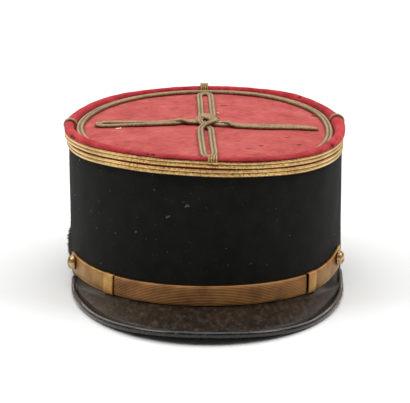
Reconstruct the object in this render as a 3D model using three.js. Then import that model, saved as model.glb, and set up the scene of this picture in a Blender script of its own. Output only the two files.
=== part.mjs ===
// An officer's kepi: a stiff oval cap of black wool cloth with a sunken red top inside a padded
// rim, two gilt rank braids round its head, a flat braid ring and a looped cross knot sewn on the
// top, four short braids over the rim, a patent leather peak with a rolled edge, and a false chin
// strap with two slides that a domed button holds at each end.
//
// Millimetres, +Z up. The peak points towards -Y and the wearer's left is +X. The cap stands on
// z = 0, on the back of its lower edge and on both sides of the peak's rolled edge.

import * as THREE from 'three';

// ---------------------------------------------------------------- driving dimensions

const GAP = 0.3; // clearance between pieces that touch
const ROUND_STEPS = 64; // sections round the oval

// Lower edge of the cloth wall, outside: an oval for a 58 cm head, lifted in front by the peak.
const BASE = { halfWidth: 85.4, halfLength: 103, centreX: 1.1, frontLift: 5.5 };

// Crest of the rim. The top leans forwards and, as on any worn cap, is not quite a true oval:
// it is turned by a degree, a little square and pear-shaped, and its edge rises and falls.
const CREST = {
  halfWidth: 87.4,
  halfLength: 101.2,
  centreX: 0.9,
  centreY: 0.2,
  frontHeight: 92,
  backHeight: 102.5,
  turn: 0.02,
  sideLean: 0.008,
  threeFold: { cos: -0.006, sin: -0.004 },
  fourFold: { cos: -0.011, sin: 0.009 },
  saddle: { cos: -1.05, sin: 1.0 },
};

const CLOTH = { thickness: 2.4, topDrop: 7.0, overhang: 2.1 }; // the wall, and the rim beyond it
const RIM = { halfWidth: 3.05, halfHeight: 2.9, centreOut: -0.35, skirt: 0.7, skirtDrop: 11.6 };
const DISC = { drop: 4.0, thickness: 1.6, edgeOut: -3.7 };
const LEDGE = { out: -5.9, thickness: 0.8 }; // seam allowance of the rim under the disc

const RANK_BRAID = { height: 4.1, thickness: 1.1, firstDrop: 3.4, pitch: 4.5 };
const FLAT_BRAID = { width: 4.2, thickness: 1.6 }; // the ring and the knot's loops
const RING_OUT = -6.9; // centre line of the ring, from the cloth's outer face

// Loops of the cross knot on the disc: from the knot's centre to the middle of the loop's round
// end, and half the distance between the two legs at each.
const LOOPS = [
  { name: 'knot_loop_back', from: [2.6, 18.9], to: [3.5, 82.4], halfSpread: [3.9, 4.0] },
  { name: 'knot_loop_front', from: [0.4, -20.4], to: [0.0, -82.8], halfSpread: [3.4, 3.2] },
  { name: 'knot_loop_left', from: [-4.2, 3.0], to: [-62.2, -1.9], halfSpread: [2.5, 5.8] },
  { name: 'knot_loop_right', from: [8.6, -0.4], to: [65.0, -11.6], halfSpread: [2.4, 2.6] },
];
const KNOT = { centre: [2.1, -0.9], halfWidth: 5.5, halfLength: 18.4, height: 3.1 };

// Short braids over the rim: the angle on the oval where each one lies, and its section.
const RIM_BRAIDS = [
  { name: 'rim_braid_back', angle: 86.3, width: 6.4, thickness: 1.6 },
  { name: 'rim_braid_front', angle: -90.7, width: 5.6, thickness: 1.2 },
  { name: 'rim_braid_left', angle: 181.4, width: 3.0, thickness: 0.9 },
  { name: 'rim_braid_right', angle: 4.6, width: 3.4, thickness: 1.1 },
];

// False chin strap. It rises towards the buttons; angles are on the oval, from +X.
const STRAP = {
  thickness: 1.5,
  crown: 0.35, // how far its middle stands beyond its edges
  centreUp: 7.0,
  halfHeight: 5.7,
  flare: 0.6,
  riseLeft: 9.2,
  riseRight: 14.6,
  endAngle: { left: -160.6, right: -22.0 },
};
const SLIDE = {
  thickness: 0.7,
  lip: 0.5,
  left: { from: -135.6, to: -130.9 },
  right: { from: -48.9, to: -44.6 },
};
const BUTTON = { radius: 4.8, rim: 0.9, dome: 2.9, angles: { left: -156.2, right: -26.4 } };

// Peak: a wide crescent in front of the wall. Its outline is a rounded box curve, a little further
// forward on the wearer's right, and its edge is arched: it touches the surface at both sides and
// stands clear of it in the middle.
const PEAK = {
  halfWidth: 83.6,
  centreX: 1.2,
  rootY: -5,
  reach: 144.3,
  swing: 0.015,
  squareness: { across: 2.05, along: 2.4 },
  arch: { lift: 3.1, centreX: -6, halfSpan: 60 },
  thickness: 2.2,
  edgeTop: 2.9,
  crown: 0.6, // how far its middle stands above a straight line from wall to edge
  hornCrown: 0.1,
  hornAngle: 7, // where its ends lie on the outline, and on the oval of the wall
  rootAngle: 16,
  steps: 44,
};
const ROLLED_EDGE = { radius: 1.9, hornRadius: 1.25, hornAngle: 8.6, steps: 44, sides: 8 };

// ---------------------------------------------------------------- curves of the cap

const { lerp, degToRad, clamp } = THREE.MathUtils;

const baseOutline = (angle) =>
  new THREE.Vector2(BASE.centreX + BASE.halfWidth * Math.cos(angle), BASE.halfLength * Math.sin(angle));

const waves = (amplitude, folds, angle) =>
  amplitude.cos * Math.cos(folds * angle) + amplitude.sin * Math.sin(folds * angle);

function crestOutline(angle) {
  const swell = 1 + waves(CREST.threeFold, 3, angle) + waves(CREST.fourFold, 4, angle);
  return new THREE.Vector2(CREST.halfWidth * Math.cos(angle), CREST.halfLength * Math.sin(angle))
    .multiplyScalar(swell)
    .rotateAround(new THREE.Vector2(), CREST.turn)
    .add(new THREE.Vector2(CREST.centreX, CREST.centreY));
}

// Outward unit normal of an outline that runs anticlockwise.
function outwardOf(outline, angle) {
  const step = 0.01;
  const along = outline(angle + step).sub(outline(angle - step));
  return new THREE.Vector2(along.y, -along.x).normalize();
}

const baseHeight = (y) => (BASE.frontLift * (1 - y / BASE.halfLength)) / 2;

// Height of the gently saddled surface that the rim's crest and the whole top follow.
function topHeight(x, y) {
  const across = (x - CREST.centreX) / CREST.halfWidth;
  const along = (y - CREST.centreY) / CREST.halfLength;
  const middle = (CREST.frontHeight + CREST.backHeight) / 2;
  const lean = ((CREST.backHeight - CREST.frontHeight) / 2) * along - CREST.sideLean * x;
  const saddle = CREST.saddle.cos * (across ** 2 - along ** 2) + CREST.saddle.sin * 2 * across * along;
  return middle + lean + saddle;
}

// The straight line up the wall's outer face at an angle, with its outward directions.
function wallLine(angle) {
  const base = baseOutline(angle);
  const baseOut = outwardOf(baseOutline, angle);
  const crestOut = outwardOf(crestOutline, angle);
  const crest = crestOutline(angle).addScaledVector(crestOut, -CLOTH.overhang);
  const foot = new THREE.Vector3(base.x, base.y, baseHeight(base.y));
  const head = new THREE.Vector3(crest.x, crest.y, topHeight(crest.x, crest.y));
  return { foot, head, baseOut, crestOut, height: foot.distanceTo(head) };
}

// A point beside the wall: `up` from its lower edge, `out` beyond the cloth's outer face.
function aboveBase(angle, out, up) {
  const line = wallLine(angle);
  const fraction = up / line.height;
  const direction = line.baseOut.clone().lerp(line.crestOut, clamp(fraction, 0, 1)).normalize();
  const point = line.foot.clone().lerp(line.head, fraction);
  const tilt = (baseHeight(point.y + direction.y * out) - baseHeight(point.y)) * (1 - fraction);
  return point.add(new THREE.Vector3(direction.x * out, direction.y * out, tilt));
}

// The same measured from the top, with `up` negative below its surface. What lies inside the
// wall follows the top's own height, and what hangs beside the wall leans as the wall does.
function fromCrest(angle, out, up) {
  const line = wallLine(angle);
  const lean = -up / line.height;
  const x = line.head.x + line.crestOut.x * out;
  const y = line.head.y + line.crestOut.y * out;
  return new THREE.Vector3(
    x + (line.foot.x - line.head.x) * lean,
    y + (line.foot.y - line.head.y) * lean,
    topHeight(x, y) + up,
  );
}

// ---------------------------------------------------------------- solids

// Turns triangles the right way round if they enclose a negative volume.
function facingOut(positions, index) {
  let volume = 0;
  for (let i = 0; i < index.length; i += 3) {
    const [a, b, c] = [0, 1, 2].map((corner) => positions[index[i + corner]]);
    volume += a.dot(new THREE.Vector3().crossVectors(b, c));
  }
  const turned = volume > 0 ? index : [...index].reverse();
  const geometry = new THREE.BufferGeometry().setFromPoints(positions);
  geometry.setIndex(turned);
  geometry.computeVertexNormals();
  return geometry;
}

// A solid lofted through matching sections. `profile(t)` lists a section's [u, v] corners,
// anticlockwise, and `place(t, u, v)` puts one in space, for t from 0 to 1. A closed loft
// returns to its start.
function loft({ steps, profile, place, closed = false }) {
  const rows = closed ? steps : steps + 1;
  const corners = profile(0).length;
  const positions = [];
  for (let row = 0; row < rows; row++) {
    const t = row / steps;
    for (const [u, v] of profile(t)) positions.push(place(t, u, v));
  }
  const index = [];
  for (let row = 0; row < steps; row++) {
    const here = row * corners;
    const next = ((row + 1) % rows) * corners;
    for (let i = 0; i < corners; i++) {
      const j = (i + 1) % corners;
      index.push(here + i, next + i, next + j, here + i, next + j, here + j);
    }
  }
  if (!closed) {
    for (const [row, flip] of [[0, false], [steps, true]]) {
      const outline = profile(row / steps).map(([u, v]) => new THREE.Vector2(u, v));
      for (const [a, b, c] of THREE.ShapeUtils.triangulateShape(outline, [])) {
        const face = flip ? [a, c, b] : [a, b, c];
        index.push(...face.map((corner) => row * corners + corner));
      }
    }
  }
  return facingOut(positions, index);
}

// A solid ring round the cap with one section all the way, its corners as [out, up].
const hoop = (corners, place) =>
  loft({
    steps: ROUND_STEPS,
    closed: true,
    profile: () => corners,
    place: (t, out, up) => place(t * 2 * Math.PI, out, up),
  });

// Section of a flat piece lying face up: flat below, with its upper corners eased.
function easedStrip(width, bottom, top) {
  const half = width / 2;
  const ease = (top - bottom) * 0.4;
  return [
    [-half, bottom],
    [half, bottom],
    [half, top - ease],
    [half - ease, top],
    [ease - half, top],
    [-half, top - ease],
  ];
}

// ---------------------------------------------------------------- crown

function clothBand() {
  const { thickness, topDrop } = CLOTH;
  const place = (angle, out, atTop) =>
    atTop ? fromCrest(angle, out, -topDrop) : aboveBase(angle, out, 0);
  const corners = [[0, 0], [0, 1], [-thickness, 1], [-thickness, 0]];
  return hoop(corners, place);
}

// The padded roll, the skirt of red cloth that hangs behind the rank braids, and the ledge
// that carries the disc.
function redRim() {
  const corners = [];
  const rollStart = 0;
  const rollEnd = 195;
  const rollPoints = 7;
  for (let i = 0; i < rollPoints; i++) {
    const turn = degToRad(lerp(rollStart, rollEnd, i / (rollPoints - 1)));
    const out = RIM.centreOut + RIM.halfWidth * Math.cos(turn);
    corners.push([out, RIM.halfHeight * (Math.sin(turn) - 1)]);
  }
  const ledgeTop = -(DISC.drop + DISC.thickness + GAP);
  const underside = ledgeTop - LEDGE.thickness;
  const skirtOut = GAP + RIM.skirt;
  corners.push([DISC.edgeOut + GAP, ledgeTop], [LEDGE.out, ledgeTop], [LEDGE.out, underside]);
  corners.push([GAP, underside], [GAP, -RIM.skirtDrop], [skirtOut, -RIM.skirtDrop]);
  corners.push([skirtOut, GAP - RANK_BRAID.firstDrop]);
  return hoop(corners, fromCrest);
}

function redDisc() {
  const ringShares = [0.35, 0.7, 1];
  const edge = (angle) => fromCrest(angle, DISC.edgeOut, -DISC.drop);
  const onDisc = (x, y, below) => new THREE.Vector3(x, y, topHeight(x, y) - DISC.drop - below);
  const positions = [
    onDisc(CREST.centreX, CREST.centreY, 0),
    onDisc(CREST.centreX, CREST.centreY, DISC.thickness),
  ];
  const layers = [...ringShares.map((share) => [share, 0]), [1, DISC.thickness]];
  for (const [share, below] of layers) {
    for (let step = 0; step < ROUND_STEPS; step++) {
      const rim = edge((step / ROUND_STEPS) * 2 * Math.PI);
      const x = lerp(CREST.centreX, rim.x, share);
      const y = lerp(CREST.centreY, rim.y, share);
      positions.push(onDisc(x, y, below));
    }
  }
  const at = (layer, step) => 2 + layer * ROUND_STEPS + (step % ROUND_STEPS);
  const index = [];
  for (let step = 0; step < ROUND_STEPS; step++) {
    index.push(0, at(0, step), at(0, step + 1));
    for (let layer = 0; layer < layers.length - 1; layer++) {
      index.push(at(layer, step), at(layer + 1, step), at(layer + 1, step + 1));
      index.push(at(layer, step), at(layer + 1, step + 1), at(layer, step + 1));
    }
    index.push(1, at(layers.length - 1, step + 1), at(layers.length - 1, step));
  }
  return facingOut(positions, index);
}

function rankBraid(row) {
  const top = -(RANK_BRAID.firstDrop + row * RANK_BRAID.pitch);
  const bottom = top - RANK_BRAID.height;
  const inner = 2 * GAP + RIM.skirt;
  const outer = inner + RANK_BRAID.thickness;
  const ease = 0.4;
  const corners = [
    [inner, bottom],
    [outer - ease, bottom],
    [outer, bottom + 2 * ease],
    [outer, top - 2 * ease],
    [outer - ease, top],
    [inner, top],
  ];
  return hoop(corners, fromCrest);
}

function ringBraid() {
  const bottom = GAP - DISC.drop;
  const strip = easedStrip(FLAT_BRAID.width, bottom, bottom + FLAT_BRAID.thickness);
  return hoop(strip, (angle, across, up) => fromCrest(angle, RING_OUT + across, up));
}

// ---------------------------------------------------------------- knot on the disc

const onDisc = (x, y, lift) => new THREE.Vector3(x, y, topHeight(x, y) - DISC.drop + lift);

// Centre line of a loop: out along one leg, round the end, and back along the other.
function loopCurve({ from, to, halfSpread }) {
  const start = new THREE.Vector2(...from);
  const end = new THREE.Vector2(...to);
  const axis = end.clone().sub(start).normalize();
  const side = new THREE.Vector2(-axis.y, axis.x);
  const legShares = [0, 0.25, 0.5, 0.75, 1];
  const turns = [45, 90, 135];
  const leg = (share, sign) =>
    start.clone().lerp(end, share).addScaledVector(side, sign * lerp(...halfSpread, share));
  const round = (turn) =>
    end
      .clone()
      .addScaledVector(side, halfSpread[1] * Math.cos(degToRad(turn)))
      .addScaledVector(axis, halfSpread[1] * Math.sin(degToRad(turn)));
  const points = [
    ...legShares.map((share) => leg(share, 1)),
    ...turns.map(round),
    ...legShares.map((share) => leg(share, -1)).reverse(),
  ];
  return new THREE.CatmullRomCurve3(points.map((p) => new THREE.Vector3(p.x, p.y, 0)), false, 'centripetal');
}

function knotLoop(loop) {
  const curve = loopCurve(loop);
  const strip = easedStrip(FLAT_BRAID.width, GAP, GAP + FLAT_BRAID.thickness);
  return loft({
    steps: 30,
    profile: () => strip,
    place: (t, across, up) => {
      const point = curve.getPointAt(t);
      const along = curve.getTangentAt(t);
      return onDisc(point.x - along.y * across, point.y + along.x * across, up);
    },
  });
}

// The woven middle of the knot, as a low rounded pad.
function knotCentre() {
  const [centreX, centreY] = KNOT.centre;
  const domeRows = [
    { share: 1.0, lift: GAP },
    { share: 1.0, lift: KNOT.height * 0.6 },
    { share: 0.75, lift: KNOT.height },
    { share: 0.3, lift: KNOT.height + 0.2 },
  ];
  const squareness = 4;
  const around = (t, share) => {
    const angle = t * 2 * Math.PI;
    const rounded = (c) => Math.sign(c) * Math.abs(c) ** (2 / squareness);
    const x = centreX + KNOT.halfWidth * share * rounded(Math.cos(angle));
    const y = centreY + KNOT.halfLength * share * rounded(Math.sin(angle));
    return [x, y];
  };
  const profile = () => [
    ...domeRows.map((row, i) => [i, row.lift]),
    [domeRows.length, KNOT.height / 2],
  ];
  const shares = [...domeRows.map((row) => row.share), 0.3];
  return loft({
    steps: 20,
    closed: true,
    profile,
    place: (t, row, lift) => onDisc(...around(t, shares[row]), lift),
  });
}

// ---------------------------------------------------------------- braids over the rim

function rimBraid({ angle, width, thickness }) {
  const middle = degToRad(angle);
  const outward = outwardOf(crestOutline, middle);
  const along = new THREE.Vector3(-outward.y, outward.x, 0);
  const strip = easedStrip(width, GAP, GAP + thickness);
  const overRoll = { from: -8, to: 160 };
  return loft({
    steps: 10,
    profile: () => strip,
    place: (t, across, lift) => {
      const turn = degToRad(lerp(overRoll.from, overRoll.to, t));
      const out = RIM.centreOut + (RIM.halfWidth + lift) * Math.cos(turn);
      const up = (RIM.halfHeight + lift) * Math.sin(turn) - RIM.halfHeight;
      return fromCrest(middle, out, up).addScaledVector(along, across);
    },
  });
}

// ---------------------------------------------------------------- chin strap and buttons

// Lower and upper edge of the strap above the wall's lower edge.
function strapEdges(angle) {
  const side = Math.abs(Math.cos(angle));
  const rise = Math.cos(angle) < 0 ? STRAP.riseLeft : STRAP.riseRight;
  const centre = STRAP.centreUp + rise * side ** 6;
  const half = STRAP.halfHeight + STRAP.flare * side ** 4;
  return { lower: centre - half, centre, upper: centre + half };
}

// A stretch of the false strap between two angles; v runs from its lower to its upper edge.
function strapStretch(fromAngle, toAngle, steps) {
  const inner = GAP;
  const outer = GAP + STRAP.thickness;
  const corners = [
    [inner, 0],
    [outer, 0],
    [outer + STRAP.crown, 0.25],
    [outer + STRAP.crown, 0.75],
    [outer, 1],
    [inner, 1],
  ];
  return loft({
    steps,
    profile: () => corners,
    place: (t, out, share) => {
      const angle = degToRad(lerp(fromAngle, toAngle, t));
      const { lower, upper } = strapEdges(angle);
      return aboveBase(angle, out, lerp(lower, upper, share));
    },
  });
}

// A slide: a plate over the strap, lipped over both its edges.
function strapSlide({ from, to }) {
  const under = 2 * GAP + STRAP.thickness + STRAP.crown;
  const over = under + SLIDE.thickness;
  const reach = GAP + SLIDE.lip;
  const corners = [
    [GAP, -reach],
    [over, -reach],
    [over, reach],
    [GAP, reach],
    [GAP, GAP],
    [under, GAP],
    [under, -GAP],
    [GAP, -GAP],
  ];
  return loft({
    steps: 4,
    profile: () => corners,
    place: (t, out, beyond) => {
      const angle = degToRad(lerp(from, to, t));
      const { lower, upper } = strapEdges(angle);
      return aboveBase(angle, out, (beyond < 0 ? lower : upper) + beyond);
    },
  });
}

function buttonShape() {
  const outline = [new THREE.Vector2(0, 0), new THREE.Vector2(BUTTON.radius - 0.3, 0)];
  outline.push(new THREE.Vector2(BUTTON.radius, 0.3), new THREE.Vector2(BUTTON.radius, BUTTON.rim));
  const domeSteps = 4;
  for (let i = 1; i < domeSteps; i++) {
    const turn = (i / domeSteps) * (Math.PI / 2);
    const radius = BUTTON.radius * Math.cos(turn);
    outline.push(new THREE.Vector2(radius, BUTTON.rim + BUTTON.dome * Math.sin(turn)));
  }
  outline.push(new THREE.Vector2(0, BUTTON.rim + BUTTON.dome));
  return new THREE.LatheGeometry(outline, 16);
}

function placeButton(mesh, angleDegrees) {
  const angle = degToRad(angleDegrees);
  const outward = outwardOf(baseOutline, angle);
  const standOff = 2 * GAP + STRAP.thickness + STRAP.crown;
  mesh.position.copy(aboveBase(angle, standOff, strapEdges(angle).centre));
  const axis = new THREE.Vector3(outward.x, outward.y, 0);
  mesh.quaternion.setFromUnitVectors(new THREE.Vector3(0, 1, 0), axis);
  return mesh;
}

// ---------------------------------------------------------------- peak

// Centre line of the rolled edge, seen from above, for an angle from 0 (right) to 180 degrees.
function peakOutline(angle) {
  const { across, along } = PEAK.squareness;
  const side = PEAK.halfWidth * Math.sign(Math.cos(angle)) * Math.abs(Math.cos(angle)) ** (2 / across);
  const forward = Math.abs(Math.sin(angle)) ** (2 / along);
  const x = PEAK.centreX + side;
  const y = PEAK.rootY - (PEAK.reach - PEAK.swing * side) * forward;
  return new THREE.Vector2(x, y);
}

// How far the underside of the peak's edge stands above the surface.
function archLift(x) {
  const { lift, centreX, halfSpan } = PEAK.arch;
  const away = Math.min(1, Math.abs(x - centreX) / halfSpan);
  return lift * (1 - away ** 2) ** 1.5;
}

// Outward direction of that line, which runs clockwise.
const peakOutward = (angle) => outwardOf(peakOutline, angle).negate();

function peakLeather() {
  const inset = ROLLED_EDGE.radius + GAP;
  const shares = [0, 0.35, 0.7, 1];
  const section = (t) => {
    const crown = lerp(PEAK.hornCrown, PEAK.crown, Math.sin(Math.PI * t));
    const crowned = (share, up) => [share, up + 4 * crown * share * (1 - share)];
    const bottom = shares.map((share) => crowned(share, -PEAK.thickness));
    const top = shares.map((share) => crowned(share, 0)).reverse();
    return [...bottom, ...top];
  };
  return loft({
    steps: PEAK.steps,
    profile: section,
    place: (t, share, up) => {
      const outerAngle = degToRad(lerp(PEAK.hornAngle, 180 - PEAK.hornAngle, t));
      const innerAngle = -degToRad(lerp(PEAK.rootAngle, 180 - PEAK.rootAngle, t));
      const outer = peakOutline(outerAngle).addScaledVector(peakOutward(outerAngle), -inset);
      const inner = aboveBase(innerAngle, -CLOTH.thickness, 0);
      const x = lerp(inner.x, outer.x, share);
      const y = lerp(inner.y, outer.y, share);
      const height = lerp(inner.z - GAP, PEAK.edgeTop + archLift(outer.x), share);
      return new THREE.Vector3(x, y, height + up);
    },
  });
}

function peakRolledEdge() {
  const { radius, hornRadius, hornAngle, steps, sides } = ROLLED_EDGE;
  const circle = Array.from({ length: sides }, (_, i) => {
    const turn = ((i + 0.5) / sides) * 2 * Math.PI;
    return [Math.cos(turn), Math.sin(turn)];
  });
  const flatBelow = Math.abs(circle[Math.floor(sides * 0.75)][1]); // lowest corner of the section
  return loft({
    steps,
    profile: () => circle,
    place: (t, across, up) => {
      const angle = degToRad(lerp(hornAngle, 180 - hornAngle, t));
      const thick = lerp(hornRadius, radius, clamp(Math.sin(angle) * 2, 0, 1));
      const outward = peakOutward(angle);
      const centre = peakOutline(angle);
      const x = centre.x + outward.x * across * thick;
      const y = centre.y + outward.y * across * thick;
      return new THREE.Vector3(x, y, archLift(centre.x) + (flatBelow + up) * thick);
    },
  });
}

// ---------------------------------------------------------------- materials and assembly

const finish = (color, roughness, metalness = 0) =>
  new THREE.MeshStandardMaterial({ color, roughness, metalness });

const blackWool = finish('#1f1f1c', 0.95);
const redWool = finish('#cf6661', 0.9);
const redRimWool = finish('#b93c42', 0.9);
const giltBraid = finish('#cdab72', 0.5, 0.6);
const tarnishedBraid = finish('#a58d72', 0.6, 0.4);
const strapLeather = finish('#8a6234', 0.5, 0.3);
const giltBrass = finish('#b98d58', 0.4, 0.9);
const patentLeather = finish('#342c26', 0.3);

const kepi = new THREE.Group();

function add(name, geometry, material) {
  const mesh = new THREE.Mesh(geometry, material);
  mesh.name = name;
  kepi.add(mesh);
  return mesh;
}

add('cloth_band', clothBand(), blackWool);
add('crown_disc', redDisc(), redWool);
add('crown_rim', redRim(), redRimWool);
add('rank_braid_upper', rankBraid(0), giltBraid);
add('rank_braid_lower', rankBraid(1), giltBraid);
add('crown_ring', ringBraid(), tarnishedBraid);
add('knot_centre', knotCentre(), tarnishedBraid);
for (const loop of LOOPS) add(loop.name, knotLoop(loop), tarnishedBraid);
for (const braid of RIM_BRAIDS) add(braid.name, rimBraid(braid), tarnishedBraid);

const stretchGap = 0.25; // degrees between the ribbed strap and each plain end
add('strap_centre', strapStretch(SLIDE.left.to, SLIDE.right.from, 32), strapLeather);
const leftEnd = strapStretch(STRAP.endAngle.left, SLIDE.left.to - stretchGap, 14);
const rightEnd = strapStretch(SLIDE.right.from + stretchGap, STRAP.endAngle.right, 14);
add('strap_end_left', leftEnd, giltBrass);
add('strap_end_right', rightEnd, giltBrass);
for (const side of ['left', 'right']) {
  add(`strap_slide_${side}`, strapSlide(SLIDE[side]), giltBrass);
  placeButton(add(`button_${side}`, buttonShape(), giltBrass), BUTTON.angles[side]);
}
add('peak', peakLeather(), patentLeather);
add('peak_edge', peakRolledEdge(), patentLeather);

// The origin is the middle of the cap's bounding box, at the bottom.
const bounds = new THREE.Box3().setFromObject(kepi);
const middle = bounds.getCenter(new THREE.Vector3());
kepi.position.set(-middle.x, -middle.y, -bounds.min.z);

export default kepi;
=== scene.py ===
"""An officer's kepi cap: its cloth, braids, leather and brass, built to its construction.

Lengths are millimetres in the cap's own axes, as in its construction: the wearer's left is +X, the
peak points towards -Y, +Z is up, and the cap stands on z = 0. Each mesh is turned to metres and
moved into the frame as it is made.
"""

import math

import bmesh
import bpy
import numpy as np
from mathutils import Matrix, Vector


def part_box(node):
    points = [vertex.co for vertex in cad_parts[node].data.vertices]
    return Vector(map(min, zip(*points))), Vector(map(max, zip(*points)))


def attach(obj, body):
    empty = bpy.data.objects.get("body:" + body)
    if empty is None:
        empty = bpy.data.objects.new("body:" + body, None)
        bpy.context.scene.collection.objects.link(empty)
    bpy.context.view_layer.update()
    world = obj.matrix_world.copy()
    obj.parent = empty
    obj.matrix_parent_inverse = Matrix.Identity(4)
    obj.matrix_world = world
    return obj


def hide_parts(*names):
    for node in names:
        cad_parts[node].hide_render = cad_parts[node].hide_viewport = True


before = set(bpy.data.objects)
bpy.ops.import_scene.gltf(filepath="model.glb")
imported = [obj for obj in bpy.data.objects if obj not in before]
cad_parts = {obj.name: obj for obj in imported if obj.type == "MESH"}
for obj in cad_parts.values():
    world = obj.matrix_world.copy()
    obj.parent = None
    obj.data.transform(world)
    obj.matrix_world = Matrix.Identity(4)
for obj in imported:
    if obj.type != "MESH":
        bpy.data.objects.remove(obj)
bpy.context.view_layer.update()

MM = 0.001
TURN = 2 * math.pi

# ------------------------------------------------------------------ sizes

# The oval of the lower edge comes from the construction's cloth wall. The cap's axes pass a little
# beside the middle of that oval.
wall_low, wall_high = (np.array(corner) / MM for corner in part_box("cloth_band"))
OVAL_HALF_WIDTH, OVAL_HALF_LENGTH = ((wall_high - wall_low) / 2)[:2]
OVAL_CENTRE_X = 1.1
AXES_AT = np.append(((wall_high + wall_low) / 2)[:2] - (OVAL_CENTRE_X, 0), 0)

GAP = 0.3  # between pieces that lie against each other
FRONT_LIFT = 5.5  # the lower edge's height in front, where the peak carries it

CREST_HALF_WIDTH, CREST_HALF_LENGTH = 87.4, 101.2
CREST_CENTRE = np.array((0.9, 0.2))
CREST_FRONT, CREST_BACK = 92, 102.5
CREST_TURN = 0.02  # radians, seen from above
CREST_SIDE_LEAN = 0.008
CREST_WAVES = ((3, -0.006, -0.004), (4, -0.011, 0.009))  # folds, cosine and sine shares
CREST_SADDLE = (-1.05, 1.0)  # along the axes and between them

CLOTH_THICKNESS = 2.4
WALL_TOP_DROP = 7.0
BRAIDS_UP, WALL_UP = 78, 84  # how far up the wall the rank braids begin, and its cloth ends
SIDE_BULGE = 1.5
OVERHANG = 2.1
ROLL_HALF_WIDTH, ROLL_HALF_HEIGHT, ROLL_OUT = 3.05, 2.9, -0.35
SKIRT, SKIRT_DROP = 0.7, 11.6
DISC_DROP, DISC_THICKNESS, DISC_EDGE_OUT = 4.0, 1.6, -3.7
LEDGE_OUT, LEDGE_THICKNESS = -5.9, 0.8
RANK_HEIGHT, RANK_THICKNESS, RANK_FIRST_DROP, RANK_PITCH = 4.2, 1.1, 3.4, 4.8
FLAT_WIDTH, FLAT_THICKNESS = 4.2, 1.6
RING_OUT, RING_WIDTH, RING_THICKNESS = -6.9, 4.7, 2.0
FRONT_SINK = 1.5  # how much deeper the top lies along the front of the rim
PRESSED_SINK, ROLL_PRESS = 1.6, 0.55  # and how much the pressed rim adds to that and loses itself

STRAP_THICKNESS, STRAP_CROWN = 1.5, 0.35
STRAP_CENTRE_UP, STRAP_HALF_HEIGHT, STRAP_FLARE = 7.2, 5.65, 0.45
STRAP_RISE_LEFT, STRAP_RISE_RIGHT = (4.6, 5), (14.1, 8)  # height, and how late it comes
STRAP_END_LEFT, STRAP_END_RIGHT = -162.0, -22.0
SLIDE_LEFT, SLIDE_RIGHT = (-134.9, -130.2), (-49.6, -45.3)
SLIDE_THICKNESS = 0.7
BUTTON_RADIUS, BUTTON_RIM, BUTTON_DOME = 4.8, 0.9, 2.9
BUTTONS = {"button_left": (-158.5, 11.8), "button_right": (-26.4, 14.9)}  # angle, height up

PEAK_HALF_WIDTH, PEAK_CENTRE_X, PEAK_ROOT_Y, PEAK_REACH = 83.6, 0.6, -5, 146.8
PEAK_SWING = 0.015
PEAK_SQUARENESS = (2.05, 2.4)  # across, along
ARCH_LIFT, ARCH_CENTRE_X, ARCH_HALF_SPAN = 3.9, -6, 62
PEAK_THICKNESS, PEAK_EDGE_TOP, PEAK_CROWN, PEAK_HORN_CROWN = 2.2, 2.9, 0.6, 0.1
PEAK_HORN_ANGLE, PEAK_ROOT_ANGLE = 9.6, 20.5
BEAD_RADIUS, BEAD_HORN_RADIUS, BEAD_HORN_ANGLE = 1.9, 1.15, 9.9
# The peak's root turns up against the wall, and a tongue of it goes in under the wall's edge.
FLANGE_BACK, FLANGE_FRONT, FLANGE_REACH, FLANGE_BELOW_STRAP, TONGUE = 0.4, 1.5, 7, 0.25, 1.6
PEAK_CLEARANCE = 0.4  # above the wall's lower edge, and of the underside above the table
FIRST_LINE, SECOND_LINE = 0.0, 2.5  # distance of the pressed lines in from the bead
# The peak's two ends rise to the strap, and close in on the wall, over so many degrees.
HORN_LIFT_LEFT, HORN_LIFT_RIGHT, HORN_IN, HORN_SPAN = 5.9, 9.2, 1.2, 8.0

# ------------------------------------------------------------------ curves of the cap


def mix(a, b, share):
    return a + (b - a) * share


def unit(vectors):
    return vectors / np.linalg.norm(vectors, axis=-1, keepdims=True)


def all_round(count):
    """Even angles round one full turn."""
    return np.linspace(0, TURN, count, endpoint=False)


def fade_in(value, start, span):
    """0 up to the start, then evenly up to 1 over the span."""
    return np.clip((value - start) / span, 0, 1)


def hump(value, place, width):
    """1 at the place, falling smoothly to nothing about two widths to either side."""
    return np.exp(-(((value - place) / width) ** 2))


def degrees_past(angle, place):
    """How many degrees an angle lies past a place on the oval, from -180 to 180."""
    return (np.degrees(angle) - place + 180) % 360 - 180


def base_outline(angle):
    x = OVAL_CENTRE_X + OVAL_HALF_WIDTH * np.cos(angle)
    return np.stack([x, OVAL_HALF_LENGTH * np.sin(angle)], -1)


def crest_outline(angle):
    swell = 1 + sum(c * np.cos(n * angle) + s * np.sin(n * angle) for n, c, s in CREST_WAVES)
    x = CREST_HALF_WIDTH * np.cos(angle) * swell
    y = CREST_HALF_LENGTH * np.sin(angle) * swell
    cosine, sine = math.cos(CREST_TURN), math.sin(CREST_TURN)
    return np.stack([x * cosine - y * sine, x * sine + y * cosine], -1) + CREST_CENTRE


def outward_of(outline, angle):
    """Outward unit normal of an outline that runs anticlockwise."""
    step = 0.01
    along = outline(angle + step) - outline(angle - step)
    return unit(np.stack([along[..., 1], -along[..., 0]], -1))


def level_directions(outline, angle):
    """Level unit directions out from an outline and anticlockwise along it, at one angle."""
    x, y = outward_of(outline, np.array(angle))
    return np.array((x, y, 0)), np.array((-y, x, 0))


def base_height(y):
    return FRONT_LIFT * (1 - y / OVAL_HALF_LENGTH) / 2


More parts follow.
